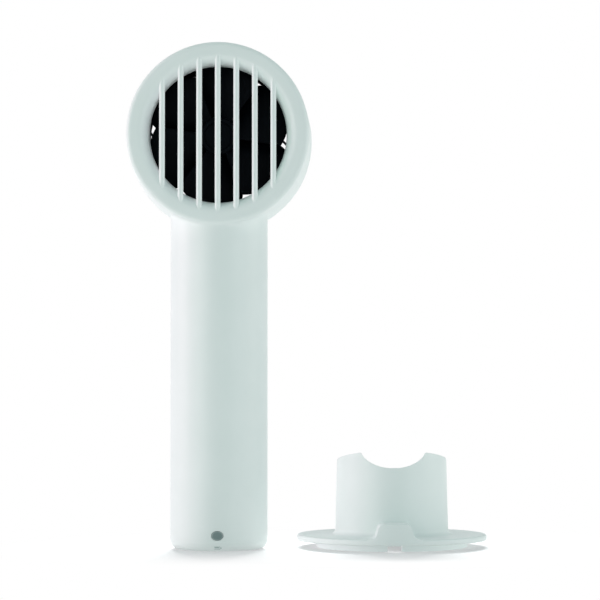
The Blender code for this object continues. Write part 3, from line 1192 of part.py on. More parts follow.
def leads():
    """Builds the motor's two leads and the battery's two leads."""
    tab_y = END_CAP_Y + END_CAP_THICKNESS + BRUSH_TAIL - LEAD_RADIUS
    under_motor = BRUSH_WIDTH / 2 + GAP + LEAD_RADIUS
    pad_y = PART_SEAT_Y + LEAD_RADIUS
    pad_z = BOARD_TOP_Z - 2 * GAP
    duct_bottom_z = HEAD_Z - DUCT_OUTER_RADIUS
    notch_y = DUCT_REAR_Y - DUCT_NOTCH_DEPTH / 2
    middle_z = (SHELL_SCREW_LOW_Z + SHELL_SCREW_HIGH_Z) / 2
    for side, name, finish in ((-1, "motor_lead_black", "black_sleeve"), (1, "motor_lead_red", "red_sleeve")):
        places = [
            (side * (BRUSH_X - BRUSH_THICKNESS / 2), tab_y, HEAD_Z - under_motor),
            (side * LEAD_X, tab_y, HEAD_Z - MOTOR_RADIUS),
            (side * LEAD_X, notch_y, duct_bottom_z + DUCT_NOTCH_DEPTH),
            (side * LEAD_X, notch_y, duct_bottom_z),
            (side * LEAD_X, LEAD_Y, duct_bottom_z - 2 * LEAD_RADIUS),
            (side * LEAD_X, LEAD_Y, SHELL_SCREW_HIGH_Z),
            (side * LEAD_X, LEAD_Y, middle_z),
            (side * LEAD_X, LEAD_Y, SHELL_SCREW_LOW_Z),
            (side * LEAD_X, (pad_y + LEAD_Y) / 2, (SHELL_SCREW_LOW_Z + BOARD_TOP_Z) / 2),
            (side * LEAD_X, pad_y, pad_z),
        ]
        lead(name, places, finish)


def battery_leads():
    """Builds the two short leads from the battery's contact strips to the board."""
    strip_y = CELL_Y + TRAY_OUTER_RADIUS - GAP - LEAD_RADIUS
    top_z = CELL_TOP_Z + CELL_BUTTON_HEIGHT - LEAD_RADIUS
    behind_y = BOARD_Y + LEAD_RADIUS
    places = [
        (0, strip_y, top_z),
        (0, strip_y + 2 * LEAD_RADIUS, top_z - LEAD_RADIUS / 2),
        (0, behind_y, top_z - TRAY_WINDOW_HEIGHT),
        (0, behind_y, BOARD_TOP_Z + TRAY_WINDOW_HEIGHT),
        (0, behind_y, BOARD_TOP_Z + GAP),
    ]
    lead("battery_lead_red", places, "red_sleeve")
    low_z = CELL_BASE_Z + LEAD_RADIUS
    places = [
        (0, strip_y, low_z),
        (0, (strip_y + BOARD_Y) / 2, low_z + LEAD_RADIUS),
        (0, BOARD_Y - GAP, low_z + LEAD_RADIUS),
    ]
    lead("battery_lead_black", places, "black_sleeve")


def shell_screws():
    """Builds the two screws that hold the shells together."""
    for index, height in enumerate((SHELL_SCREW_LOW_Z, SHELL_SCREW_HIGH_Z), 1):
        screw(f"shell_screw_{index}", (0, height), SHELL_SCREW_HEAD_Y, SHELL_SCREW_TIP_Y, SCREW_RADIUS)


def tunnel_outline(shrink):
    """Returns the right side of the cable tunnel's outline, drawn in by shrink."""
    corner = TUNNEL_CORNER_ROUND
    top = TUNNEL_TOP_Z - shrink
    half_top = TUNNEL_TOP_HALF_WIDTH - shrink
    half_side = TUNNEL_SIDE_HALF_WIDTH - shrink
    rounding = arc((half_top, top - corner), (corner, corner), 0, math.pi / 2, CORNER_STEPS)
    return [(half_side, top - 2 * corner)] + rounding


def tunnel_blank():
    """Returns the tunnel's outside, with a flared foot on each side, before its front is trimmed."""
    flare = (TUNNEL_FLARE, TUNNEL_FLARE_RISE)
    foot = (TUNNEL_SIDE_HALF_WIDTH + TUNNEL_FLARE, STAND_TOP_Z + TUNNEL_FLARE_RISE)
    base_z = (STAND_UNDERSIDE_Z + STAND_TOP_Z) / 2
    right = [(foot[0], base_z)]
    right += arc(foot, flare, -math.pi / 2, -math.pi, CORNER_STEPS)
    right += tunnel_outline(0)[1:]
    outline = right + [(-across, height) for across, height in right[::-1]]
    return prism(outline, -STAND_RADIUS - OVERRUN, -CUP_INNER_RADIUS - SINK, "Y")


def tunnel_hollow():
    """Returns the tunnel's inside, open to the cup and downwards."""
    right = [(TUNNEL_SIDE_HALF_WIDTH - TUNNEL_WALL, -OVERRUN)] + tunnel_outline(TUNNEL_WALL)
    outline = right + [(-across, height) for across, height in right[::-1]]
    return prism(outline, -STAND_RADIUS + TUNNEL_WALL, -CUP_INNER_RADIUS * 2 / 3, "Y")


def stand():
    """Builds the stand: a disc with a cup for the handle, a cable tunnel and a foot ring."""
    quarter = math.pi / 2
    edge = (STAND_EDGE_ROUND, STAND_EDGE_ROUND)
    lower_edge = (STAND_EDGE_ROUND / 2, STAND_EDGE_ROUND / 2)
    fillet = (CUP_OUTER_BASE_RADIUS + CUP_FILLET, STAND_TOP_Z + CUP_FILLET)
    rim_z = CUP_FRONT_Z + OVERRUN
    groove_outer = FOOT_RADIUS + GAP
    groove_inner = FOOT_RADIUS - FOOT_WIDTH - GAP
    groove_z = STAND_UNDERSIDE_Z + FOOT_GROOVE_DEPTH
    profile = [
        (0, CUP_FLOOR_BASE_Z),
        (CUP_OUTER_BASE_RADIUS - SINK, CUP_FLOOR_BASE_Z),
        (CUP_OUTER_BASE_RADIUS - SINK, STAND_UNDERSIDE_Z),
        (groove_inner, STAND_UNDERSIDE_Z),
        (groove_inner, groove_z),
        (groove_outer, groove_z),
        (groove_outer, STAND_UNDERSIDE_Z),
    ]
    corner = (STAND_RADIUS - lower_edge[0], STAND_UNDERSIDE_Z + lower_edge[0])
    profile += arc(corner, lower_edge, -quarter, 0, 2)
    profile += arc((STAND_RADIUS - edge[0], STAND_TOP_Z - edge[0]), edge, 0, quarter, CORNER_STEPS)
    profile += arc(fillet, (CUP_FILLET, CUP_FILLET), -quarter, -math.pi, CORNER_STEPS)
    profile += [
        (CUP_OUTER_TOP_RADIUS, rim_z),
        (CUP_INNER_RADIUS, rim_z),
        (CUP_INNER_RADIUS, CUP_FLOOR_TOP_Z),
        (0, CUP_FLOOR_TOP_Z),
    ]
    body = add_piece("stand_body", turned(profile, STAND_STEPS), "white_plastic", STAND_CENTRE)
    tunnel = add_tool("tool_tunnel", tunnel_blank(), STAND_CENTRE)
    barrel = prism(circle((0, 0), STAND_RADIUS, STAND_STEPS), 0, CUP_FRONT_Z)
    trim(tunnel, add_tool("tool_tunnel_front", barrel, STAND_CENTRE))
    join(body, tunnel)
    cut(body, add_tool("tool_tunnel_hollow", tunnel_hollow(), STAND_CENTRE))

    reach = STAND_RADIUS + OVERRUN
    slope = (CUP_REAR_Z - CUP_FRONT_Z) / (2 * CUP_OUTER_TOP_RADIUS)
    middle_z = (CUP_FRONT_Z + CUP_REAR_Z) / 2
    above = CUP_FRONT_Z + reach
    side_view = [
        (-reach, middle_z - slope * reach),
        (reach, middle_z + slope * reach),
        (reach, above),
        (-reach, above),
    ]
    cut(body, add_tool("tool_rim_cut", prism(side_view, -reach, reach, "X"), STAND_CENTRE))
    notch = arc((0, NOTCH_Z), (NOTCH_HALF_WIDTH, NOTCH_HALF_HEIGHT), 0, math.tau, 2 * ROUND_STEPS)[:-1]
    cut(body, add_tool("tool_notch", prism(notch, -CUP_OUTER_BASE_RADIUS - OVERRUN, 0, "Y"), STAND_CENTRE))

    foot = [
        (FOOT_RADIUS - FOOT_WIDTH, SINK),
        (FOOT_RADIUS - FOOT_WIDTH + SINK, 0),
        (FOOT_RADIUS - SINK, 0),
        (FOOT_RADIUS, SINK),
        (FOOT_RADIUS, groove_z - GAP),
        (FOOT_RADIUS - FOOT_WIDTH, groove_z - GAP),
    ]
    ring = add_piece("stand_foot_ring", turned(foot, STAND_STEPS), "white_rubber", STAND_CENTRE)
    half = FOOT_NOTCH_WIDTH / 2
    gap = block((-half, -reach, -OVERRUN), (half, 0, groove_z + OVERRUN))
    cut(ring, add_tool("tool_foot_notch", gap, STAND_CENTRE))
    return body


def main():
    """Builds every piece of the fan and its stand."""
    clear_scene()
    tools = shell_tools()
    front_shell(tools)
    rear_shell(tools)
    add_piece("base_pad", pad_disc(0, PAD_THICKNESS, PAD_RADIUS), "white_rubber")
    air_duct()
    rear_guard()
    fan_rotor()
    motor()
    battery()
    circuit_board()
    plunger_top_y = board_parts()
    light_pipe()
    power_button(plunger_top_y)
    leads()
    battery_leads()
    shell_screws()
    stand()


main()
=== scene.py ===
"""Looks of a portable fan and its table stand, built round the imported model.

Each class builds one sub-assembly: the housing, the controls on its handle, the slats, the rotor, the duct,
the rear guard and the stand. Studio adds the floor, the surround, the lamps and the camera.
"""

import json
import logging
import math
from collections.abc import Callable, Sequence
from dataclasses import dataclass
from enum import Enum

import bmesh
import bpy
from mathutils import Matrix, Vector

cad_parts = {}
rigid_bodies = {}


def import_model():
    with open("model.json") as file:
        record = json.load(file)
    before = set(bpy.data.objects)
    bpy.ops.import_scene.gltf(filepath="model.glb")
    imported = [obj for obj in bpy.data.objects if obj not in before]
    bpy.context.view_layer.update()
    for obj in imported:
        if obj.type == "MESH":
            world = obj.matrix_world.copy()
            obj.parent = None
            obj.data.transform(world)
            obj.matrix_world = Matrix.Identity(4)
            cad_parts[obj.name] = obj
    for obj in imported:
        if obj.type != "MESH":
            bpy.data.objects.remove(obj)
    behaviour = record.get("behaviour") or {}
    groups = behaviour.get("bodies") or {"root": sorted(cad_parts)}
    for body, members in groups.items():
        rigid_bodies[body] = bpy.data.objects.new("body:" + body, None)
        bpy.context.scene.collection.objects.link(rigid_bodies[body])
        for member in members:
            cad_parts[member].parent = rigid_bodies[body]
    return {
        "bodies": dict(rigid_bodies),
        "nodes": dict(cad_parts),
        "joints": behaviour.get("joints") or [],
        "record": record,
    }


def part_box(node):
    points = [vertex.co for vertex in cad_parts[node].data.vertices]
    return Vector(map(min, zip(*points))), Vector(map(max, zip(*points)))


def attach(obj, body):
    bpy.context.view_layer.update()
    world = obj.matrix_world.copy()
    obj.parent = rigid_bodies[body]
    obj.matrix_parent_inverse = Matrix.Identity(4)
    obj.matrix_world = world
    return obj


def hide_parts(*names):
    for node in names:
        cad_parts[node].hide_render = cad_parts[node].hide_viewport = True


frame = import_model()
log = logging.getLogger("portable_fan")

Colour = tuple[float, float, float]
Point2 = tuple[float, float]
Piece = bpy.types.Object

SLATS_NAME = "front_slats"
MERGE_DISTANCE = 0.000001
SHARP_ANGLE = math.radians(38)
QUARTER = math.pi / 2
MATERIALS: dict[str, bpy.types.Material] = {}


class Body(Enum):
    """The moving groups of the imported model."""

    FAN = "fan"
    ROTOR = "rotor"
    BUTTON = "button"
    STAND = "stand"


class HousingHalf(Enum):
    """The two mouldings of the housing; the value is the side of the parting plane that each lies on."""

    FRONT = -1
    REAR = 1


def math_method(operation: str, reflected: bool = False) -> Callable[["Value", "Value | float"], "Value"]:
    """Returns an operator for Value.

    Args:
        operation: The Math node's operation.
        reflected: Whether the value is the second operand.

    Returns:
        A method that adds the node and returns its result.
    """

    def method(self: "Value", other: "Value | float") -> "Value":
        """Adds the node."""
        return self.builder.maths(operation, *((other, self) if reflected else (self, other)))

    return method


class Value:
    """A number socket that takes part in Python expressions; every operation adds a Math node."""

    def __init__(self, builder: "NodeBuilder", socket: bpy.types.NodeSocket) -> None:
        """Wraps a socket of the builder's tree."""
        self.builder = builder
        self.socket = socket

    def apply(self, operation: str, *others: "Value | float") -> "Value":
        """Adds a Math node with this value as its first operand."""
        return self.builder.maths(operation, self, *others)

    __add__ = __radd__ = math_method("ADD")
    __mul__ = __rmul__ = math_method("MULTIPLY")
    __sub__ = math_method("SUBTRACT")
    __rsub__ = math_method("SUBTRACT", reflected=True)
    __truediv__ = math_method("DIVIDE")


class NodeBuilder:
    """Adds nodes to a tree, each by its type, its settings and the values or links of its sockets."""

    def __init__(self, tree: bpy.types.NodeTree) -> None:
        """Empties the tree and works on it."""
        self.tree = tree
        tree.nodes.clear()

    def add(
        self,
        kind: str,
        settings: dict[str, object] | None = None,
        sockets: dict[str | int, object] | None = None,
    ) -> bpy.types.Node:
        """Adds one node.

        Args:
            kind: The node's type.
            settings: Its properties, set before its sockets.
            sockets: For each input, a plain value, a Value, a socket, or a node for its first output.

        Returns:
            The new node.
        """
        node = self.tree.nodes.new(kind)
        for name, setting in (settings or {}).items():
            setattr(node, name, setting)
        for key, given in (sockets or {}).items():
            source = given.socket if isinstance(given, Value) else given
            if isinstance(source, bpy.types.Node):
                source = source.outputs[0]
            if isinstance(source, bpy.types.NodeSocket):
                self.tree.links.new(source, node.inputs[key])
            else:
                node.inputs[key].default_value = source
        return node

    def value(
        self,
        kind: str,
        settings: dict[str, object] | None = None,
        sockets: dict[str | int, object] | None = None,
        output: str | int = 0,
    ) -> Value:
        """Adds one node and returns one of its outputs as a number."""
        return Value(self, self.add(kind, settings, sockets).outputs[output])

    def maths(self, operation: str, *operands: Value | float) -> Value:
        """Adds a Math node and returns its result."""
        return self.value("ShaderNodeMath", {"operation": operation}, dict(enumerate(operands)))


class ShapeTree(NodeBuilder):
    """A Geometry Nodes tree that turns an object's own mesh into what repeats or follows a rule."""

    def __init__(self, name: str) -> None:
        """Starts the tree with a geometry input and output, and an input for the finish.

        Args:
            name: The tree's name.
        """
        super().__init__(bpy.data.node_groups.new(name, "GeometryNodeTree"))
        self.tree.interface.new_socket("Geometry", in_out="OUTPUT", socket_type="NodeSocketGeometry")
        self.entry = self.add("NodeGroupInput")
        self.size("Geometry", "Geometry")
        self.finish = self.size("Finish", "Material")

    def size(self, name: str, kind: str = "Float") -> Value:
        """Adds a named input and returns it."""
        self.tree.interface.new_socket(name, in_out="INPUT", socket_type=f"NodeSocket{kind}")
        return Value(self, self.entry.outputs[name])

    def close(self, geometry: bpy.types.Node) -> None:
        """Ends the tree in Realize Instances and Set Material.

        Args:
            geometry: The node that gives out the finished shape.
        """
        real = self.add("GeometryNodeRealizeInstances", sockets={0: geometry})
        dressed = self.add("GeometryNodeSetMaterial", sockets={"Geometry": real, "Material": self.finish})
        self.add("NodeGroupOutput", sockets={0: dressed})

    def run(self, piece: Piece, finish: "Finish", **sizes: object) -> Piece:
        """Runs the tree on a piece and keeps the result as a plain mesh.

        Args:
            piece: The object whose mesh the tree takes in.
            finish: The finish of the result.
            sizes: The value of each named input, with underscores for spaces.

        Returns:
            The same object with its new mesh.
        """
        change = piece.modifiers.new(self.tree.name, "NODES")
        change.node_group = self.tree
        wanted = {name.replace("_", " "): given for name, given in sizes.items()}
        wanted["Finish"] = finish.take()
        for item in self.tree.interface.items_tree:
            if item.in_out == "INPUT" and item.name in wanted:
                change[item.identifier] = wanted[item.name]
        return settle(piece)


def ring_of_copies() -> ShapeTree:
    """Sets copies of a mesh round an axis along Y.

    Returns:
        The tree.
    """
    tree = ShapeTree("ring of copies")
    count, centre = tree.size("count", "Int"), tree.size("centre", "Vector")
    points = tree.add("GeometryNodePoints", sockets={"Count": count})
    angle = tree.value("GeometryNodeInputIndex") * math.tau / count
    turn = tree.add("FunctionNodeAxisAngleToRotation", sockets={"Axis": (0.0, 1.0, 0.0), "Angle": angle})
    copies = tree.add(
        "GeometryNodeInstanceOnPoints", sockets={"Points": points, "Instance": tree.entry, "Rotation": turn}
    )
    tree.close(tree.add("GeometryNodeTransform", sockets={"Geometry": copies, "Translation": centre}))
    return tree


def row_of_copies() -> ShapeTree:
    """Sets copies of a mesh in a straight row.

    Returns:
        The tree.
    """
    tree = ShapeTree("row of copies")
    count, start, step = tree.size("count", "Int"), tree.size("start", "Vector"), tree.size("step", "Vector")
    places = {"Count": count, "Start Location": start, "Offset": step}
    line = tree.add("GeometryNodeMeshLine", {"mode": "OFFSET"}, places)
    tree.close(tree.add("GeometryNodeInstanceOnPoints", sockets={"Points": line, "Instance": tree.entry}))
    return tree


def fitted_to_mouth() -> ShapeTree:
    """Stretches upright slats of half length 1 to the room in the bell mouth.

    Returns:
        The tree.
    """
    tree = ShapeTree("fitted to mouth")
    rim, throat, depth, bite = map(tree.size, ("rim radius", "throat radius", "mouth depth", "bite"))
    centre = tree.size("centre", "Vector")
    place = tree.add("ShaderNodeSeparateXYZ", sockets={0: tree.add("GeometryNodeInputPosition")})
    across, behind, along = (Value(tree, place.outputs[axis]) for axis in "XYZ")
    height_share = ((depth - behind) / (depth - bite)).apply("MINIMUM", 1.0)
    curve = (1.0 - height_share * height_share).apply("SQRT")
    reach = rim - (rim - throat - bite) * curve
    chord = (reach * reach - across * across).apply("SQRT")
    shaped = tree.add("ShaderNodeCombineXYZ", sockets={"X": across, "Y": behind, "Z": along * chord})
    moved = tree.add("ShaderNodeVectorMath", {"operation": "ADD"}, {0: shaped, 1: centre})
    tree.close(tree.add("GeometryNodeSetPosition", sockets={"Geometry": tree.entry, "Position": moved}))
    return tree


def swept_bar() -> ShapeTree:
    """Makes one thin bar, swept sideways as it runs out from the Y axis.

    Returns:
        The tree.
    """
    tree = ShapeTree("swept bar")
    inner, outer, sweep, phase = map(tree.size, ("inner radius", "outer radius", "sweep", "phase"))
    width, thickness, rounding = map(tree.size, ("bar width", "bar thickness", "bar rounding"))
    start, end = (tree.add("ShaderNodeCombineXYZ", sockets={"X": radius}) for radius in (inner, outer))
    line = tree.add("GeometryNodeCurvePrimitiveLine", sockets={"Start": start, "End": end})
    path = tree.add("GeometryNodeResampleCurve", sockets={"Curve": line, "Count": 14})
    share = tree.value("GeometryNodeSplineParameter", output="Factor")
    turn = phase + sweep * share * share
    reach = inner + (outer - inner) * share
    ways = {"X": reach * turn.apply("COSINE"), "Y": reach * turn.apply("SINE")}
    bent = tree.add("ShaderNodeCombineXYZ", sockets=ways)
    curve = tree.add("GeometryNodeSetPosition", sockets={"Geometry": path, "Position": bent})
    upright = tree.add("GeometryNodeSetCurveNormal", {"mode": "Z_UP"}, {"Curve": curve})
    section = tree.add(
        "GeometryNodeCurvePrimitiveQuadrilateral", sockets={"Width": width, "Height": thickness}
    )
    rounded = tree.add("GeometryNodeFilletCurve", sockets={"Curve": section, "Radius": rounding})
    skin = {"Curve": upright, "Profile Curve": rounded, "Fill Caps": True}
    bar = tree.add("GeometryNodeCurveToMesh", sockets=skin)
    tree.close(tree.add("GeometryNodeTransform", sockets={"Geometry": bar, "Rotation": (QUARTER, 0.0, 0.0)}))
    return tree


class FinishTree(NodeBuilder):
    """A material under construction, with the patterns that the finishes share."""

    def __init__(self, name: str) -> None:
        """Starts a material.

        Args:
            name: The material's name.
        """
        self.material = bpy.data.materials.new(name)
        self.material.use_nodes = True
        super().__init__(self.material.node_tree)
        self.place = self.add("ShaderNodeTexCoord").outputs["Object"]

    def noise(self, size: float, detail: float = 2.0, stretch: Colour = (1.0, 1.0, 1.0)) -> Value:
        """Adds a cloudy pattern.

        Args:
            size: The size of its patches, in metres.
            detail: The number of finer layers.
            stretch: How much tighter the pattern is along each axis.

        Returns:
            A value from 0 to 1.
        """
        mapped = self.add("ShaderNodeMapping", sockets={"Vector": self.place, "Scale": stretch})
        sockets = {"Vector": mapped, "Scale": 1.0 / size, "Detail": detail, "Roughness": 0.55}
        return self.value("ShaderNodeTexNoise", sockets=sockets)

    def cells(self, size: float) -> Value:
        """Adds a pattern of pits of one size and returns the distance from each pit's middle."""
        sockets = {"Vector": self.place, "Scale": 1.0 / size}
        return self.value("ShaderNodeTexVoronoi", sockets=sockets, output="Distance")

    def along(self, axis: str) -> Value:
        """Returns the coordinate along X, Y or Z."""
        return self.value("ShaderNodeSeparateXYZ", sockets={0: self.place}, output=axis)

    def blend(
        self, share: Value, first: Colour | bpy.types.NodeSocket, second: Colour
    ) -> bpy.types.NodeSocket:
        """Mixes two colours by a value.

        Args:
            share: The second colour's share.
            first: A plain or linked colour.
            second: A plain colour.

        Returns:
            The mixed colour's socket.
        """
        start = first if isinstance(first, bpy.types.NodeSocket) else (*first, 1.0)
        colours = {"Factor": share, 6: start, 7: (*second, 1.0)}
        return self.add("ShaderNodeMix", {"data_type": "RGBA"}, colours).outputs[2]

    def step(self, value: Value, edge: float, width: float) -> Value:
        """Returns 0 below an edge and 1 above it, with a soft rise of the given width."""
        ends = {"Value": value, "From Min": edge - width / 2, "From Max": edge + width / 2}
        return self.value("ShaderNodeMapRange", {"interpolation_type": "SMOOTHSTEP"}, ends)

    def close(
        self,
        colour: bpy.types.NodeSocket,
        roughness: Value,
        height: Value,
        depth: float,
        constants: dict[str, float],
    ) -> bpy.types.Material:
        """Joins the patterns to a Principled shader.

        Args:
            colour: The base colour.
            roughness: The roughness.
            height: The relief of the surface.
            depth: The relief's depth, in metres.
            constants: Values that are the same all over, by socket name.

        Returns:
            The finished material.
        """
        bump = self.add("ShaderNodeBump", sockets={"Height": height, "Distance": depth, "Strength": 1.0})
        sockets = {"Base Color": colour, "Roughness": roughness, "Normal": bump, **constants}
        shader = self.add("ShaderNodeBsdfPrincipled", sockets=sockets)
        self.add("ShaderNodeOutputMaterial", sockets={"Surface": shader})
        return self.material


@dataclass(frozen=True)
class Finish:
    """What every finish has: a name, the record's slot, two colours that its pattern mixes, a roughness."""

    name: str
    slot: str
    colour: Colour
    second: Colour
    roughness: float

    def material(self) -> bpy.types.Material:
        """Builds the material, in each kind of finish by its own pattern."""
        raise NotImplementedError

    def take(self) -> bpy.types.Material:
        """Takes the material, which is built the first time that it is asked for.

        Returns:
            The material.
        """
        if self.name not in MATERIALS:
            MATERIALS[self.name] = self.material()
        return MATERIALS[self.name]


@dataclass(frozen=True)
class Moulding(Finish):
    """Injection-moulded plastic or rubber with a spark-eroded grain and a faint cloudiness."""

    grain: float
    depth: float
    specular: float
    cloud_size: float = 0.016
    mark_size: float = 0.0045

    def material(self) -> bpy.types.Material:
        """Builds the material: clouds in colour, pits in relief, and handling marks in roughness.

        Returns:
            The material.
        """
        tree = FinishTree(self.name)
        clouds = tree.step(tree.noise(self.cloud_size, 3.0), 0.52, 0.5)
        pits, fine = tree.cells(self.grain), tree.noise(self.grain * 0.7)
        marks = tree.noise(self.mark_size, 4.0)
        rough = self.roughness - 0.05 + 0.07 * marks + 0.03 * fine
        colour = tree.blend(clouds, self.colour, self.second)
        constants = {"Specular IOR Level": self.specular}
        return tree.close(colour, rough, pits * 0.6 + fine * 0.4, self.depth, constants)


@dataclass(frozen=True)
class WorkedMetal(Finish):
    """Plated, drawn or sintered metal with fine lines or pores."""

    grain: float
    depth: float
    stretch: Colour = (1.0, 1.0, 1.0)
    tone_size: float = 0.004

    def material(self) -> bpy.types.Material:
        """Builds the material: lines in relief and roughness, and a slow change of tone.

        Returns:
            The material.
        """
        tree = FinishTree(self.name)
        lines = tree.noise(self.grain, 3.0, self.stretch)
        colour = tree.blend(tree.noise(self.tone_size, 3.0), self.colour, self.second)
        return tree.close(colour, self.roughness - 0.06 + 0.12 * lines, lines, self.depth, {"Metallic": 1.0})


@dataclass(frozen=True)
class SolderMask(Finish):
    """A green circuit board with tracks under its mask."""

    track_pitch: float
    track_height: float = 0.00004
    patch_size: float = 0.006
    grain: float = 0.002

    def material(self) -> bpy.types.Material:
        """Builds the material: raised tracks in squares, paler where the copper lies under the mask.

        Returns:
            The material.
        """
        tree = FinishTree(self.name)
        up = (tree.along("Z") / self.track_pitch).apply("FRACT")
        across = (tree.along("X") / (self.track_pitch * 1.5)).apply("FRACT")
        patch = tree.step(tree.noise(self.patch_size, 0.0), 0.5, 0.02)
        tracks = tree.step(up, 0.55, 0.08) * patch + tree.step(across, 0.62, 0.08) * (1.0 - patch)
        colour = tree.blend(tracks, self.colour, self.second)
        rough = self.roughness + 0.12 * tree.noise(self.grain, 3.0)
        return tree.close(colour, rough, tracks, self.track_height, {"Coat Weight": 0.3})


@dataclass(frozen=True)
class TintedWindow(Finish):
    """A smoked window over the indicator, in its second colour towards its rim."""

    centre: Vector
    half_width: float
    half_height: float
    speckle_size: float = 0.0006
    relief: float = 0.00001

    def material(self) -> bpy.types.Material:
        """Builds the material: a pale rim, a clouded middle and a polished face.

        Returns:
            The material.
        """
        tree = FinishTree(self.name)
        across = (tree.along("X") - self.centre.x) / self.half_width
        up = (tree.along("Z") - self.centre.z) / self.half_height
        rim = tree.step((across * across + up * up).apply("SQRT"), 0.84, 0.22)
        speckle = tree.noise(self.speckle_size, 3.0)
        body = tree.blend(speckle, self.colour, tuple(0.88 * part for part in self.colour))
        rough = self.roughness + 0.1 * speckle
        colour = tree.blend(rim, body, self.second)
        return tree.close(colour, rough, speckle, self.relief, {"Coat Weight": 0.2})


@dataclass(frozen=True)
class ShrinkFilm(Finish):
    """Coloured film or sleeve that wraps a cell or a lead."""

    wrinkle: float = 0.0012
    relief: float = 0.00002
    tone_size: float = 0.008

    def material(self) -> bpy.types.Material:
        """Builds the material: faint wrinkles across the film and a slow change of tone.

        Returns:
            The material.
        """
        tree = FinishTree(self.name)
        wrinkles = tree.noise(self.wrinkle, 2.0, (1.0, 1.0, 0.25))
        colour = tree.blend(tree.noise(self.tone_size), self.colour, self.second)
        rough = self.roughness + 0.08 * wrinkles
        return tree.close(colour, rough, wrinkles, self.relief, {"Coat Weight": 0.15})


WHITE_SHELL = Moulding(
    "white_shell", "white_plastic", (0.745, 0.830, 0.812), (0.765, 0.846, 0.830),
    roughness=0.46, grain=0.00022, depth=0.000004, specular=0.42,
)
WHITE_STAND = Moulding(
    "white_stand", "white_plastic", (0.750, 0.834, 0.816), (0.768, 0.848, 0.832),
    roughness=0.44, grain=0.00022, depth=0.000004, specular=0.42,
)
SATIN_BLACK = Moulding(
    "satin_black", "black_plastic", (0.0095, 0.012, 0.014), (0.0075, 0.0095, 0.0112),
    roughness=0.36, grain=0.0003, depth=0.000006, specular=0.5,
)
# Black plastic of the same slot as SATIN_BLACK, made several times darker: real black plus painted shade for
# the rotor, duct and guard inside the head.
MATT_BLACK_PAINTED_SHADE = Moulding(
    "matt_black", "black_plastic", (0.001, 0.0024, 0.004), (0.0007, 0.0018, 0.0032),
    roughness=0.42, grain=0.0003, depth=0.000005, specular=0.04,
)
# White rubber painted lighter than the white shell: painted light on the foot ring, which sits in the shade
# under the stand's disc.
SOFT_PAD_PAINTED_LIGHT = Moulding(
    "soft_pad", "white_rubber", (0.800, 0.900, 0.885), (0.780, 0.885, 0.870),
    roughness=0.72, grain=0.00045, depth=0.000012, specular=0.3,
)
PRINT_GREY = Moulding(
    "print_grey", "white_plastic", (0.36, 0.46, 0.45), (0.40, 0.50, 0.49),
    roughness=0.5, grain=0.0003, depth=0.000003, specular=0.3,
)
FERRITE = Moulding(
    "ferrite", "magnet", (0.045, 0.045, 0.048), (0.030, 0.030, 0.032),
    roughness=0.62, grain=0.0005, depth=0.00002, specular=0.3,
)
PLATED_STEEL = WorkedMetal(
    "plated_steel", "steel", (0.56, 0.57, 0.59), (0.48, 0.49, 0.51), 0.28, 0.0004, 0.000006, (1.0, 6.0, 1.0)
)
ZINC_SHEET = WorkedMetal(
    "zinc_sheet", "zinc", (0.60, 0.61, 0.62), (0.52, 0.53, 0.55), 0.34, 0.0009, 0.000005
)
SINTERED_BRONZE = WorkedMetal(
    "sintered_bronze", "bronze", (0.56, 0.36, 0.18), (0.42, 0.25, 0.12), 0.42, 0.0003, 0.00001
)
BOARD = SolderMask("board_mask", "board_green", (0.012, 0.115, 0.050), (0.035, 0.200, 0.085), 0.32, 0.0011)
CELL_FILM = ShrinkFilm("cell_film", "cell_sleeve", (0.045, 0.200, 0.420), (0.060, 0.235, 0.470), 0.30)
RED_SLEEVE = ShrinkFilm("red_lead", "red_sleeve", (0.55, 0.020, 0.018), (0.46, 0.015, 0.014), 0.40)
BLACK_SLEEVE = ShrinkFilm("black_lead", "black_sleeve", (0.014, 0.014, 0.015), (0.022, 0.022, 0.023), 0.40)
CARRIED = (
    WHITE_SHELL, SATIN_BLACK, SOFT_PAD_PAINTED_LIGHT, PLATED_STEEL, ZINC_SHEET, SINTERED_BRONZE, FERRITE, BOARD, CELL_FILM,
    RED_SLEEVE, BLACK_SLEEVE,
)


@dataclass(frozen=True)
class Stretch:
    """One stretch of an outline, drawn by a function of the share from its start to its end."""

    steps: int
    length: float
    at: Callable[[float], Point2]


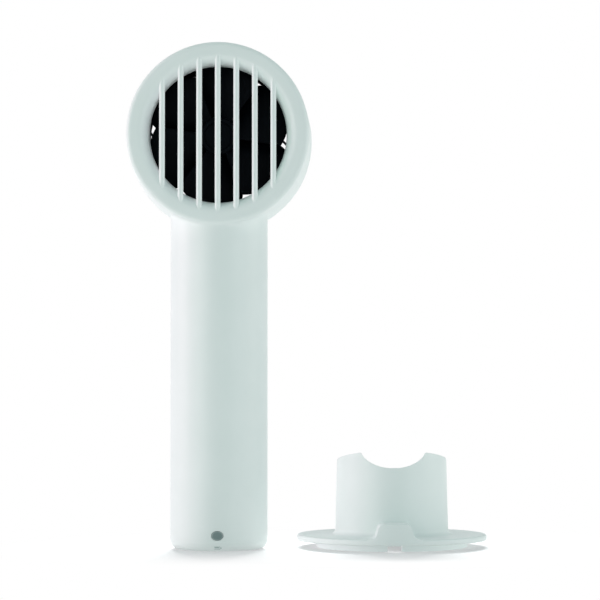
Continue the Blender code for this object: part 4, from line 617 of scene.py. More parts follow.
class Outline:
    """A chain of lines and arcs, measured by the distance along it."""

    def __init__(self, start: Point2) -> None:
        """Starts at a point.

        Args:
            start: The point.
        """
        self.start = self.end = start
        self.stretches: list[Stretch] = []
        self.starts = [0.0]

    def join(self, stretch: Stretch) -> "Outline":
        """Adds a stretch.

        Args:
            stretch: The stretch, which starts where the outline ends.

        Returns:
            The outline.
        """
        self.stretches.append(stretch)
        self.starts.append(self.starts[-1] + stretch.length)
        self.end = stretch.at(1.0)
        return self

    def line(self, end: Point2, steps: int = 1) -> "Outline":
        """Adds a straight stretch.

        Args:
            end: The point that it ends at.
            steps: The number of its steps.

        Returns:
            The outline.
        """
        (x, y), (end_x, end_y) = self.end, end

        def at(share: float) -> Point2:
            """Returns the point at a share of the stretch."""
            return x + (end_x - x) * share, y + (end_y - y) * share

        return self.join(Stretch(steps, math.dist(self.end, end), at))

    def arc(self, centre: Point2, radii: Point2 | float, start: float, end: float, steps: int) -> "Outline":
        """Adds an elliptic stretch.

        Args:
            centre: Its centre.
            radii: Its radius, or one radius for each coordinate.
            start: The angle that it starts from, in quarter turns.
            end: The angle that it ends at, in quarter turns.
            steps: The number of its steps.

        Returns:
            The outline.
        """
        wide, tall = radii if isinstance(radii, tuple) else (radii, radii)

        def at(share: float) -> Point2:
            """Returns the point at a share of the stretch."""
            turn = QUARTER * (start + (end - start) * share)
            return centre[0] + wide * math.cos(turn), centre[1] + tall * math.sin(turn)

        return self.join(Stretch(steps, QUARTER * abs(end - start) * (wide + tall) / 2, at))

    def at(self, distance: float) -> Point2:
        """Finds a point of the outline.

        Args:
            distance: Its distance along the outline.

        Returns:
            The point.
        """
        for stretch, start in zip(self.stretches, self.starts):
            if distance <= start + stretch.length:
                return stretch.at(max(0.0, (distance - start) / stretch.length))
        return self.end

    def stations(self) -> list[float]:
        """Finds the distances of all its steps.

        Returns:
            The distances.
        """
        found = [0.0]
        for stretch, start in zip(self.stretches, self.starts):
            found += [start + stretch.length * share for share in shares(stretch.steps)[1:]]
        return found

    def points(self) -> list[Point2]:
        """Returns the point at every step, exact at the joins."""
        return [self.start] + [part.at(share) for part in self.stretches for share in shares(part.steps)[1:]]


def shares(count: int, power: float = 1.0) -> list[float]:
    """Returns the shares from 0 to 1 in a number of steps, closer together at 0 for a power above 1."""
    return [(step / count) ** power for step in range(count + 1)]


def rectangle(left: float, right: float, low: float, high: float) -> list[Point2]:
    """Returns a rectangle's outline."""
    return [(left, low), (right, low), (right, high), (left, high)]


def oval(place: Vector, half_width: float, half_height: float = 0.0, steps: int = 48) -> list[Point2]:
    """Draws an elliptic or round outline.

    Args:
        place: Its middle.
        half_width: Half its width.
        half_height: Half its height, or nothing for a round outline.
        steps: The number of its steps.

    Returns:
        The outline's points.
    """
    half_height = half_height or half_width
    turns = [math.tau * step / steps for step in range(steps)]
    return [(place.x + half_width * math.cos(t), place.z + half_height * math.sin(t)) for t in turns]


def stadium(place: Vector, half_width: float, half_height: float, steps: int = 12) -> list[Point2]:
    """Draws an outline with two straight sides and two round ends.

    Args:
        place: Its middle.
        half_width: Half its width.
        half_height: Half its height.
        steps: The number of steps of each end.

    Returns:
        The outline's points.
    """
    outline = []
    for side in (1, -1):
        x = place.x + side * (half_width - half_height)
        turns = [math.pi * share - side * QUARTER for share in shares(steps)]
        outline += [(x + half_height * math.cos(t), place.z + half_height * math.sin(t)) for t in turns]
    return outline


def lay(first: float, second: float, height: float, axis: str) -> Vector:
    """Places a point along an axis.

    Args:
        first: The first coordinate across the axis.
        second: The second one.
        height: The coordinate along the axis.
        axis: X, Y or Z.

    Returns:
        The point.
    """
    if axis == "X":
        return Vector((height, first, second))
    return Vector((first, height, second)) if axis == "Y" else Vector((first, second, height))


class Skin:
    """A mesh put together from rows of points."""

    def __init__(self) -> None:
        """Starts with no faces."""
        self.body = bmesh.new()

    def sheet(self, rows: Sequence[Sequence[Vector]], looped: bool = False) -> "Skin":
        """Joins neighbouring rows of points with quads.

        Args:
            rows: Rows of equally many points.
            looped: Whether each row closes on itself.

        Returns:
            The skin.
        """
        verts = [[self.body.verts.new(point) for point in row] for row in rows]
        count = len(rows[0])
        for near, far in zip(verts, verts[1:]):
            for i in range(count if looped else count - 1):
                j = (i + 1) % count
                self.body.faces.new((near[i], near[j], far[j], far[i]))
        return self

    def turned(
        self,
        points: Sequence[Point2],
        steps: int,
        centre: Vector = Vector(),
        axis: str = "Y",
        closed: bool = False,
    ) -> "Skin":
        """Turns an outline round an axis.

        Args:
            points: The outline, as radii and heights.
            steps: The number of steps round the axis.
            centre: A point of the axis.
            axis: The axis that it is parallel to.
            closed: Whether the outline's end joins its start.

        Returns:
            The skin.
        """
        turns = [math.tau * step / steps for step in range(steps)]
        rows = [
            [centre + lay(radius * math.cos(t), radius * math.sin(t), height, axis) for t in turns]
            for radius, height in (*points, *points[: int(closed)])
        ]
        return self.sheet(rows, looped=True)

    def prism(self, outline: Sequence[Point2], low: float, high: float, axis: str = "Y") -> "Skin":
        """Draws a closed outline out along an axis, with both ends filled.

        Args:
            outline: The outline across the axis.
            low: Where it starts.
            high: Where it ends.
            axis: The axis.

        Returns:
            The skin.
        """
        near, far = (
            [self.body.verts.new(lay(a, b, height, axis)) for a, b in outline] for height in (low, high)
        )
        self.body.faces.new(near)
        self.body.faces.new(far[::-1])
        for i in range(len(outline)):
            j = (i + 1) % len(outline)
            self.body.faces.new((near[i], far[i], far[j], near[j]))
        return self

    def merged(self) -> "Skin":
        """Closes seams and poles and turns the faces outwards.

        Returns:
            The skin.
        """
        bmesh.ops.remove_doubles(self.body, verts=self.body.verts, dist=MERGE_DISTANCE)
        bmesh.ops.dissolve_degenerate(self.body, edges=self.body.edges, dist=MERGE_DISTANCE / 10)
        bmesh.ops.recalc_face_normals(self.body, faces=self.body.faces)
        return self

    def outward(self, core: Vector) -> "Skin":
        """Turns an open skin's faces away from its core.

        Args:
            core: The core.

        Returns:
            The skin.
        """
        faces = self.body.faces
        if sum(face.calc_area() * face.normal.dot(face.calc_center_median() - core) for face in faces) < 0:
            bmesh.ops.reverse_faces(self.body, faces=faces)
        return self

    def object(self, name: str) -> Piece:
        """Makes an object of the skin as it is.

        Args:
            name: The object's name.

        Returns:
            The object.
        """
        mesh = bpy.data.meshes.new(name)
        self.body.to_mesh(mesh)
        self.body.free()
        made = bpy.data.objects.new(name, mesh)
        bpy.context.scene.collection.objects.link(made)
        return smooth(made)

    def piece(self, name: str) -> Piece:
        """Makes an object of the skin with its seams closed."""
        return self.merged().object(name)


def smooth(piece: Piece) -> Piece:
    """Shades a piece smooth but for its sharp edges.

    Args:
        piece: The piece.

    Returns:
        The piece.
    """
    piece.data.shade_smooth()
    piece.data.set_sharp_from_angle(angle=SHARP_ANGLE)
    return piece


def settle(piece: Piece) -> Piece:
    """Turns a piece's modifiers into plain mesh.

    Args:
        piece: The piece.

    Returns:
        The piece.
    """
    bpy.context.view_layer.update()
    ready = piece.evaluated_get(bpy.context.evaluated_depsgraph_get())
    old, piece.data = piece.data, bpy.data.meshes.new_from_object(ready)
    piece.modifiers.clear()
    piece.data.name = piece.name
    bpy.data.meshes.remove(old)
    return smooth(piece)


def modify(piece: Piece, kind: str, **settings: object) -> Piece:
    """Runs one modifier on a piece.

    Args:
        piece: The piece.
        kind: The modifier's type.
        settings: Its properties.

    Returns:
        The piece.
    """
    change = piece.modifiers.new(kind.lower(), kind)
    for name, setting in settings.items():
        setattr(change, name, setting)
    return settle(piece)


def combine(piece: Piece, tool: Skin | Piece, operation: str = "DIFFERENCE") -> Piece:
    """Cuts a piece with a tool, or joins it to the tool, which is used up.

    Args:
        piece: The piece.
        tool: The tool, as an object or a skin.
        operation: The Boolean modifier's operation.

    Returns:
        The piece.
    """
    other = tool.piece("tool") if isinstance(tool, Skin) else tool
    modify(piece, "BOOLEAN", operation=operation, solver="EXACT", object=other)
    bpy.data.objects.remove(other, do_unlink=True)
    return piece


def soften(piece: Piece, width: float, segments: int = 2, angle: float = 50.0) -> Piece:
    """Rounds a piece's edges that turn by more than an angle in degrees."""
    limit = {"limit_method": "ANGLE", "angle_limit": math.radians(angle)}
    return modify(piece, "BEVEL", width=width, segments=segments, miter_outer="MITER_ARC", **limit)


def thicken(piece: Piece, wall: float, offset: float = -1.0) -> Piece:
    """Gives an open skin a wall, inwards unless another offset is given."""
    return modify(piece, "SOLIDIFY", thickness=wall, offset=offset, use_even_offset=True)


def seat(piece: Piece, finish: Finish, *nodes: str, body: Body = Body.FAN) -> Piece:
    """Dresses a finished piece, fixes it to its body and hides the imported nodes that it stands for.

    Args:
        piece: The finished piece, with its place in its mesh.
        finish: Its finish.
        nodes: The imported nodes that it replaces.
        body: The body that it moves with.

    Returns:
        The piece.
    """
    piece.data.materials.clear()
    piece.data.materials.append(finish.take())
    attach(piece, body.value)
    if nodes:
        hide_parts(*nodes)
    log.info("%s: %d faces, rides on %s", piece.name, len(piece.data.polygons), body.value)
    return piece


def middle(node: str) -> Vector:
    """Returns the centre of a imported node's box."""
    low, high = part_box(node)
    return (low + high) / 2


def record_place(kind: str, name: str) -> Vector:
    """Returns the place of a named joint or mount of the record."""
    found = frame["joints"] if kind == "joint" else frame["record"]["mounts"]
    return Vector(next(entry["pos_m"] for entry in found if entry["name"] == name))


@dataclass
class Head:
    """Sizes of the round head that several sub-assemblies share."""

    centre: Vector
    front_y: float = -0.0200
    rear_y: float = 0.0200
    front_radius: float = 0.0353
    rear_radius: float = 0.0364
    edge_round: float = 0.0017
    rim_radius: float = 0.0307
    throat_radius: float = 0.02655
    mouth_depth: float = 0.0068
    lip_length: float = 0.0018
    rear_opening: float = 0.0297
    duct_radius: float = 0.0299
    duct_rear_y: float = 0.0160
    seat_gap: float = 0.0003
    hoop_edge: float = 0.0002

    @property
    def throat_y(self) -> float:
        """The plane where the bell mouth becomes a plain tube."""
        return self.front_y + self.mouth_depth

    def side_radius(self, y: float) -> float:
        """Returns the drum's radius at a place along its axis."""
        front, rear = self.front_y + self.edge_round, self.rear_y - self.edge_round
        return self.front_radius + (self.rear_radius - self.front_radius) * (y - front) / (rear - front)

    def outline(self) -> Outline:
        """Draws the skin's outline from the mouth's lip over the drum to the rear opening.

        Returns:
            The outline.
        """
        edge, throat, rim = self.edge_round, self.throat_radius, self.rim_radius
        face, back = self.front_radius - edge, self.rear_radius - edge
        return (
            Outline((throat, self.throat_y + self.lip_length))
            .line((throat, self.throat_y), 2)
            .arc((rim, self.throat_y), (rim - throat, self.mouth_depth), 2, 3, 14)
            .line(((rim + face) / 2, self.front_y), 2)
            .line((face, self.front_y), 2)
            .arc((face, self.front_y + edge), edge, -1, 0, 6)
            .line((self.side_radius(0.0), 0.0), 4)
            .line((self.rear_radius, self.rear_y - edge), 4)
            .arc((back, self.rear_y - edge), edge, 0, 1, 6)
            .line(((self.rear_opening + back) / 2, self.rear_y), 2)
            .line((self.rear_opening, self.rear_y), 2)
        )

    def hoop(self, name: str, outline: Sequence[Point2], steps: int) -> Piece:
        """Returns a ring with softened edges, turned round the head's axis from a closed outline."""
        return soften(Skin().turned(outline, steps, self.centre, closed=True).piece(name), self.hoop_edge)


@dataclass
class Housing:
    """The two white mouldings: a straight handle that runs with a small fillet into the drum-shaped head."""

    head: Head
    handle_radius: float = 0.0190
    base_round: float = 0.0036
    pad_radius: float = 0.0133
    pad_recess: float = 0.0011
    wall: float = 0.0015
    neck_round: float = 0.0020
    seam: float = 0.00012
    edge: float = 0.00012
    patch_half_angle: float = math.radians(48)
    patch_rows: int = 12
    patch_spread: float = 1.3
    patch_side_steps: int = 18
    drum_steps: int = 132
    handle_rows: int = 26
    handle_spread: float = 1.2
    neck_rows: int = 7

    def neck_centre(self, turn: float) -> tuple[Vector, float, float]:
        """Finds where a ball that fills the neck's corner lies at one angle round the handle.

        Args:
            turn: The angle round the handle, from +X towards +Y.

        Returns:
            The ball's centre, the angle of its touching point round the head's axis from straight down,
            and that point's distance along the head's outline.
        """
        head, starts = self.head, self.head.outline().starts
        reach = self.handle_radius + self.neck_round
        x, y = reach * math.cos(turn), reach * math.sin(turn)
        edge, front, rear = head.edge_round, head.front_y + head.edge_round, head.rear_y - head.edge_round
        nearest = min(max(y, front), rear)
        if y == nearest:
            radius = head.side_radius(y) + self.neck_round
            distance = starts[5] + (y - front) / (rear - front) * (starts[7] - starts[5])
        else:
            corner, start = (head.front_radius, starts[5]) if y < front else (head.rear_radius, starts[7])
            out = math.sqrt((edge + self.neck_round) ** 2 - (y - nearest) ** 2)
            radius = corner - edge + out
            distance = start + edge * math.atan2(y - nearest, out)
        z = head.centre.z - math.sqrt(radius**2 - x**2)
        return Vector((x, y, z)), math.asin(x / radius), distance

    def head_point(self, outline: Outline, angle: float, distance: float) -> Vector:
        """Returns the point of the head's skin at an angle from straight down and a distance."""
        radius, y = outline.at(distance)
        return Vector((radius * math.sin(angle), y, self.head.centre.z - radius * math.cos(angle)))

    def patch_edge(self, stations: Sequence[float]) -> list[Point2]:
        """Finds the outer edge of the patch of the head's skin that the handle runs into.

        Args:
            stations: The distances along the head's outline that the patch spans.

        Returns:
            The edge as angles and distances, in step with the handle's columns.
        """
        wide, side = self.patch_half_angle, self.patch_side_steps
        half = (len(stations) - 1) // 2
        edge = [(wide, stations[half + i]) for i in range(half)]
        edge += [(wide * (1 - i / side), stations[-1]) for i in range(2 * side)]
        edge += [(-wide, stations[-1 - i]) for i in range(2 * half)]
        edge += [(-wide * (1 - i / side), stations[0]) for i in range(2 * side)]
        return edge + [(wide, stations[i]) for i in range(half)]

    def skin(self) -> Skin:
        """Builds the housing's whole outer skin, open at the mouth's lip and at the rear opening.

        Returns:
            The skin.
        """
        outline = self.head.outline()
        stations = outline.stations()
        first = sum(stretch.steps for stretch in outline.stretches[:3])
        last = len(stations) - 1 - outline.stretches[9].steps
        edge = self.patch_edge(stations[first : last + 1])
        turns = [math.tau * j / len(edge) for j in range(len(edge))]
        necks = [self.neck_centre(turn) for turn in turns]
        patch = [
            [
                self.head_point(outline, a + (edge_a - a) * share, d + (edge_d - d) * share)
                for (_, a, d), (edge_a, edge_d) in zip(necks, edge)
            ]
            for share in shares(self.patch_rows, self.patch_spread)
        ]
        inward = [Vector((-math.cos(turn), -math.sin(turn), 0.0)) for turn in turns]
        upward = [(top - centre).normalized() for top, (centre, _, _) in zip(patch[0], necks)]
        fillet = [
            [
                centre + start.slerp(end, share) * self.neck_round
                for (centre, _, _), start, end in zip(necks, inward, upward)
            ]
            for share in shares(self.neck_rows)[:-1]
        ]
        rows = [
            [point.lerp(Vector((point.x, point.y, self.base_round)), share) for point in fillet[0]]
            for share in shares(self.handle_rows, self.handle_spread)
        ]
        low, pad, recess = self.base_round, self.pad_radius, self.pad_recess
        foot = Outline((self.handle_radius, low)).arc((self.handle_radius - low, low), low, 0, -1, 9)
        foot.line((pad, 0.0), 2).line((pad, recess)).line((0.0, recess), 4)
        for radius, z in foot.points()[1:]:
            rows.append([Vector((radius * math.cos(turn), radius * math.sin(turn), z)) for turn in turns])
        skin = Skin()
        for part in (patch, [*fillet, patch[0]], rows):
            skin.sheet(part, looped=True)
        wide, side = self.patch_half_angle, self.patch_side_steps
        far = [wide + (math.tau - 2 * wide) * share for share in shares(self.drum_steps)]
        near = [-wide + 2 * wide * share for share in shares(2 * side)]
        for angles, spans in ((far, stations), (near, stations[: first + 1]), (near, stations[last:])):
            skin.sheet([[self.head_point(outline, a, d) for a in angles] for d in spans])
        return skin.merged().outward(Vector((0.0, 0.0, self.head.centre.z / 2)))

    def half(self, which: HousingHalf) -> Piece:
        """Builds one half of the housing as a moulding with a wall.

        Args:
            which: The half.

        Returns:
            The moulding, with no openings yet.
        """
        skin, side = self.skin(), which.value
        spare = [face for face in skin.body.faces if face.calc_center_median().y * side < 0]
        bmesh.ops.delete(skin.body, geom=spare, context="FACES")
        for vert in skin.body.verts:
            if abs(vert.co.y) < MERGE_DISTANCE:
                vert.co.y = side * self.seam / 2
        return thicken(skin.object(f"housing_{which.name.lower()}"), self.wall)


@dataclass
class Controls:
    """What sits in the handle's openings: indicator, button, charging socket and screws."""

    housing: Housing
    overcut: float = 0.002
    window_half_width: float = 0.00226
    window_half_height: float = 0.00174
    window_sink: float = 0.00003
    window_rim_sink: float = 0.00012
    window_depth: float = 0.0026
    fit: float = 0.00012
    button_radius: float = 0.0057
    button_stand: float = 0.00035
    button_dish: float = 0.00045
    button_rim_sink: float = 0.0004
    button_seat: float = 0.0006
    socket_half_width: float = 0.0045
    socket_half_height: float = 0.0016
    socket_wall: float = 0.0003
    socket_depth: float = 0.0060
    socket_edge: float = 0.00006
    tongue_half_width: float = 0.0033
    tongue_half_height: float = 0.00035
    tongue_length: float = 0.0048
    tongue_root: float = 0.0002
    tongue_edge: float = 0.00005
    pin_count: int = 12
    pin_pitch: float = 0.0005
    pin_half_width: float = 0.00012
    pin_half_height: float = 0.00003
    pin_start: float = 0.0006
    pin_end: float = 0.0005
    well_radius: float = 0.0024
    well_depth: float = 0.0016
    boss_wall: float = 0.0010
    screw_head_radius: float = 0.0020
    screw_head_height: float = 0.0013
    screw_crown: float = 0.0005
    thread_radius: float = 0.0010
    thread_point: float = 0.0008
    cross_half_width: float = 0.0002
    cross_half_length: float = 0.0011
    cross_depth: float = 0.0007
    mark_width: float = 0.0023
    mark_height: float = 0.00105
    mark_line: float = 0.00024
    mark_z: float = 0.00150
    mark_relief: float = 0.00003
    mark_lift: float = 0.00001
    mark_steps: int = 6

    def openings(self, front: Piece, rear: Piece) -> None:
        """Cuts the window, button hole, socket opening and screw wells.

        Args:
            front: The housing's front half.
            rear: The housing's rear half.
        """
        radius, fit = self.housing.handle_radius, self.fit
        over = radius + self.overcut
        window = oval(middle("indicator_led"), self.window_half_width + fit, self.window_half_height + fit)
        combine(front, Skin().prism(window, -over, -radius / 2))
        for node in ("shell_screw_1", "shell_screw_2"):
            place, floor = middle(node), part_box(node)[1].y - self.well_depth
            boss = oval(place, self.well_radius + self.boss_wall)
            combine(rear, Skin().prism(boss, floor - self.boss_wall, radius - self.housing.wall / 2), "UNION")
            combine(rear, Skin().prism(oval(place, self.well_radius), floor, over))
        hole = oval(middle("power_button"), self.button_radius + fit, steps=96)
        slot = stadium(middle("charging_socket"), self.socket_half_width + fit, self.socket_half_height + fit)
        for outline in (hole, slot):
            combine(rear, Skin().prism(outline, radius / 2, over))

    def cap(
        self, place: Vector, size: Point2, steps: int, follow: float, floor: float, sunk: dict[float, float]
    ) -> Skin:
        """Builds a closed oval cap whose face follows the handle.

        Args:
            place: Its middle.
            size: Half its width and half its height.
            steps: The number of steps round it.
            follow: The radius that the face follows, negative at the front.
            floor: The Y of its flat underside.
            sunk: How far the face is sunk, by the share of the way from the middle to the rim.

        Returns:
            The cap's skin.
        """
        side = math.copysign(1.0, follow)
        outlines = {share: oval(place, size[0] * share, size[1] * share, steps) for share in sunk}
        rows = [
            [Vector((x, side * (math.sqrt(follow**2 - x**2) - sunk[share]), z)) for x, z in outline]
            for share, outline in outlines.items()
        ]
        skirt, hub = ([Vector((x, floor, z)) for x, z in outlines[share]] for share in (1.0, 0.0))
        return Skin().sheet([hub, skirt, *rows], looped=True)

    def indicator(self) -> None:
        """Builds the smoked oval window, flush with the handle's front."""
        place, radius = middle("indicator_led"), self.housing.handle_radius
        wide, tall = self.window_half_width, self.window_half_height
        sunk = {
            share: self.window_sink + self.window_rim_sink * max(0.0, share - 0.9) / 0.1
            for share in (1.0, 0.97, 0.9, 0.75, 0.55, 0.3, 0.0)
        }
        skin = self.cap(place, (wide, tall), 48, -radius, self.window_depth - radius, sunk)
        colours = (0.150, 0.228, 0.224), (0.300, 0.385, 0.375)
        finish = TintedWindow("smoked_window", "grey_lens", *colours, 0.26, place, wide, tall)
        seat(skin.piece("indicator_window"), finish, "light_pipe")

    def button(self) -> None:
        """Builds the dished round button, whose rim follows the handle's back."""
        place, low = middle("power_button"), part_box("power_button")[0]
        wide, dish, rim = self.button_radius, self.button_dish, self.button_rim_sink
        sunk = {
            share: dish * max(0.0, 1.0 - (share / 0.8) ** 2) + rim * max(0.0, share - 0.95) / 0.05
            for share in (1.0, 0.985, 0.95, 0.88, 0.8, 0.72, 0.66, 0.5, 0.3, 0.0)
        }
        follow = self.housing.handle_radius + self.button_stand
        skin = self.cap(place, (wide, wide), 96, follow, low.y + self.button_seat, sunk)
        seat(skin.piece("power_button_cap"), WHITE_SHELL, "power_button", body=Body.BUTTON)

    def socket(self) -> None:
        """Builds the charging socket's drawn shell and tongue, with a row of contacts on each face."""
        place, (low, high) = middle("charging_socket"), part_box("charging_socket")
        wide, tall, wall = self.socket_half_width, self.socket_half_height, self.socket_wall
        floor = high.y - self.socket_depth
        end, thick, pitch = floor + self.tongue_length, self.tongue_half_height, self.pin_pitch
        shell = Skin().prism(stadium(place, wide, tall), low.y, high.y).piece("charging_shell")
        combine(shell, Skin().prism(stadium(place, wide - wall, tall - wall), floor, high.y + wall))
        seat(soften(shell, self.socket_edge, 1), ZINC_SHEET, "charging_socket")
        tongue = Skin().prism(stadium(place, self.tongue_half_width, thick, 4), floor - self.tongue_root, end)
        seat(soften(tongue.piece("charging_tongue"), self.tongue_edge, 1), SATIN_BLACK, "charging_socket")
        across, up = self.pin_half_width, self.pin_half_height
        pin = Skin().prism(rectangle(-across, across, -up, up), floor + self.pin_start, end - self.pin_end)
        pins = pin.piece("charging_contacts")
        start = Vector((place.x - (self.pin_count - 1) / 2 * pitch, 0.0, place.z - thick))
        row = row_of_copies()
        row.run(pins, SINTERED_BRONZE, count=self.pin_count, start=start, step=Vector((pitch, 0.0, 0.0)))
        row.run(pins, SINTERED_BRONZE, count=2, start=Vector(), step=Vector((0.0, 0.0, 2 * thick)))
        seat(pins, SINTERED_BRONZE, "charging_socket")

    def screws(self) -> None:
        """Builds the two cross-headed screws at the bottom of their wells."""
        nodes = ("shell_screw_1", "shell_screw_2")
        first, second = map(middle, nodes)
        low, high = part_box(nodes[0])
        radius, crown, thread, top = self.screw_head_radius, self.screw_crown, self.thread_radius, high.y
        under = top - self.screw_head_height
        head = Outline((0.0, low.y)).line((thread, low.y + self.thread_point)).line((thread, under))
        head.line((radius, under)).line((radius, top - crown))
        head.arc((radius - crown, top - crown), crown, 0, 1, 4).line((0.0, top), 2)
        screw = Skin().turned(head.points(), 32).piece("shell_screws")
        wide, long = self.cross_half_width, self.cross_half_length
        for across, up in ((wide, long), (long, wide)):
            slot = rectangle(-across, across, -up, up)
            combine(screw, Skin().prism(slot, top - self.cross_depth, top + self.cross_depth))
        start, step = Vector((first.x, 0.0, first.z)), Vector((0.0, 0.0, second.z - first.z))
        row_of_copies().run(screw, PLATED_STEEL, count=2, start=start, step=step)
        seat(screw, PLATED_STEEL, *nodes)

    def mark(self) -> None:
        """Prints the small generic cell sign under the window: a pale outline with a nub."""
        place, radius, bottom = middle("indicator_led"), self.housing.handle_radius, self.housing.base_round
        line, right, top = self.mark_line, self.mark_width / 2, self.mark_height / 2
        bars = (
            (-right, right, top - line, top),
            (-right, right, -top, line - top),
            (-right, line - right, -top, top),
            (right - line, right, -top, top),
            (right, right + 2 * line, -0.4 * top, 0.4 * top),
            (line - right, right / 2, 0.0, top - line),
        )
        skin = Skin()
        for start, end, low, high in bars:
            rows = []
            for z in (self.mark_z + low, self.mark_z + high):
                flank = radius - bottom + math.sqrt(bottom**2 - (bottom - z) ** 2)
                xs = [place.x + start + (end - start) * share for share in shares(self.mark_steps)]
                rows.append([Vector((x, -math.sqrt(flank**2 - x**2) - self.mark_lift, z)) for x in xs])
            skin.sheet(rows)
        piece = skin.merged().outward(Vector((0.0, 0.0, self.mark_z))).object("printed_mark")
        seat(thicken(piece, self.mark_relief, 1.0), PRINT_GREY)

    def build(self, front: Piece, rear: Piece) -> None:
        """Builds every control and cuts its opening.

        Args:
            front: The housing's front half.
            rear: The housing's rear half.
        """
        self.openings(front, rear)
        self.indicator()
        self.button()
        self.socket()
        self.screws()
        self.mark()


@dataclass
class Slats:
    """The upright slats across the mouth, moulded in one with the front."""

    head: Head
    count: int = 7
    pitch: float = 0.00715
    width: float = 0.0022
    depth: float = 0.0046
    recess: float = 0.00003
    taper: float = 0.8
    bite: float = 0.0007
    rows: int = 40

    def build(self) -> None:
        """Builds one slat of unit length and sets the row across the mouth."""
        head, half = self.head, self.width / 2
        root, nose = self.depth + self.recess, half + self.recess
        section = Outline((-half * self.taper, root)).line((-half, nose), 6)
        outline = section.arc((0.0, nose), half, -2, 0, 14).line((half * self.taper, root), 6).points()
        levels = [-math.cos(math.pi * share) for share in shares(self.rows)]
        rows = [[Vector((across, behind, level)) for across, behind in outline] for level in levels]
        low, high = ([Vector((0.0, self.depth / 2, level))] * len(outline) for level in (-1.0, 1.0))
        piece = Skin().sheet([low, *rows, high], looped=True).piece(SLATS_NAME)
        start, step = Vector(((1 - self.count) * self.pitch / 2, 0.0, 0.0)), Vector((self.pitch, 0.0, 0.0))
        row_of_copies().run(piece, WHITE_SHELL, count=self.count, start=start, step=step)
        fitted_to_mouth().run(
            piece,
            WHITE_SHELL,
            rim_radius=head.rim_radius,
            throat_radius=head.throat_radius,
            mouth_depth=head.mouth_depth,
            bite=self.bite,
            centre=Vector((head.centre.x, head.front_y, head.centre.z)),
        )
        seat(piece, WHITE_SHELL, "front_shell")


@dataclass
class Rotor:
    """The six-bladed rotor on its hub."""

    head: Head
    count: int = 6
    phase: float = math.radians(-9)
    span: float = math.radians(62.5)
    front_span: float = math.radians(38)
    rear_span: float = math.radians(12.5)
    tip_radius: float = 0.0289
    front_corner: float = 0.0245
    rear_corner: float = 0.0235
    root_overlap: float = 0.0005
    thickness: float = 0.0010
    edge_share: float = 0.32
    depth: float = 0.0062
    camber: float = 0.12
    hub_radius: float = 0.0074
    hub_setback: float = 0.0125
    hub_length: float = 0.0064
    hub_edge: float = 0.0007
    hub_rim: float = 0.0016
    hub_dish: float = 0.0004
    steps: tuple[int, int] = (26, 12)

    def reach(self, turn: float) -> float:
        """Finds how far out a blade reaches.

        Args:
            turn: The angle from its front edge.

        Returns:
            The radius.
        """
        if turn < self.front_span:
            share = math.sin(QUARTER * turn / self.front_span)
            return self.front_corner + (self.tip_radius - self.front_corner) * share
        past = max(0.0, turn - (self.span - self.rear_span)) / self.rear_span
        return self.tip_radius - (self.tip_radius - self.rear_corner) * past**2

    def blade(self) -> Piece:
        """Builds one cambered blade with softened edges, round the origin.

        Returns:
            The blade.
        """
        root = self.hub_radius - self.root_overlap
        front = self.head.front_y + self.hub_setback + self.thickness / 2
        rows = []
        for share in shares(self.steps[0]):
            y = front + self.depth * (share - self.camber * math.sin(math.pi * share))
            around = self.phase + self.span * share
            radii = [root + (self.reach(self.span * share) - root) * out for out in shares(self.steps[1])]
            rows.append([Vector((r * math.cos(around), y, r * math.sin(around))) for r in radii])
        blade = thicken(Skin().sheet(rows).piece("rotor_blades"), self.thickness, 0.0)
        return soften(blade, self.thickness * self.edge_share, 3, 60.0)

    def hub(self) -> Piece:
        """Builds the domed hub with a raised rim.

        Returns:
            The hub.
        """
        wide, edge, dish, fillet = self.hub_radius, self.hub_edge, self.hub_dish, self.hub_dish / 2
        front = self.head.front_y + self.hub_setback
        rear, rim = front + self.hub_length, wide - self.hub_rim
        foot = rim - dish - fillet
        outline = Outline((0.0, front + dish)).line((foot, front + dish), 2)
        outline.arc((foot, front + dish + fillet), fillet, -1, 0, 2).arc((rim, front + dish), dish, 2, 3, 3)
        outline.line((wide - edge, front)).arc((wide - edge, front + edge), edge, -1, 0, 5)
        outline.line((wide, rear), 2).line((0.0, rear), 2)
        return Skin().turned(outline.points(), 96, self.head.centre).piece("rotor_hub")

    def build(self) -> None:
        """Builds the hub and sets the blades round it."""
        # The rotor's black carries painted shade: it is darker than the plain black plastic.
        seat(self.hub(), MATT_BLACK_PAINTED_SHADE, "fan_rotor", body=Body.ROTOR)
        blades = ring_of_copies().run(self.blade(), MATT_BLACK_PAINTED_SHADE, count=self.count, centre=self.head.centre)
        seat(blades, MATT_BLACK_PAINTED_SHADE, "fan_rotor", body=Body.ROTOR)


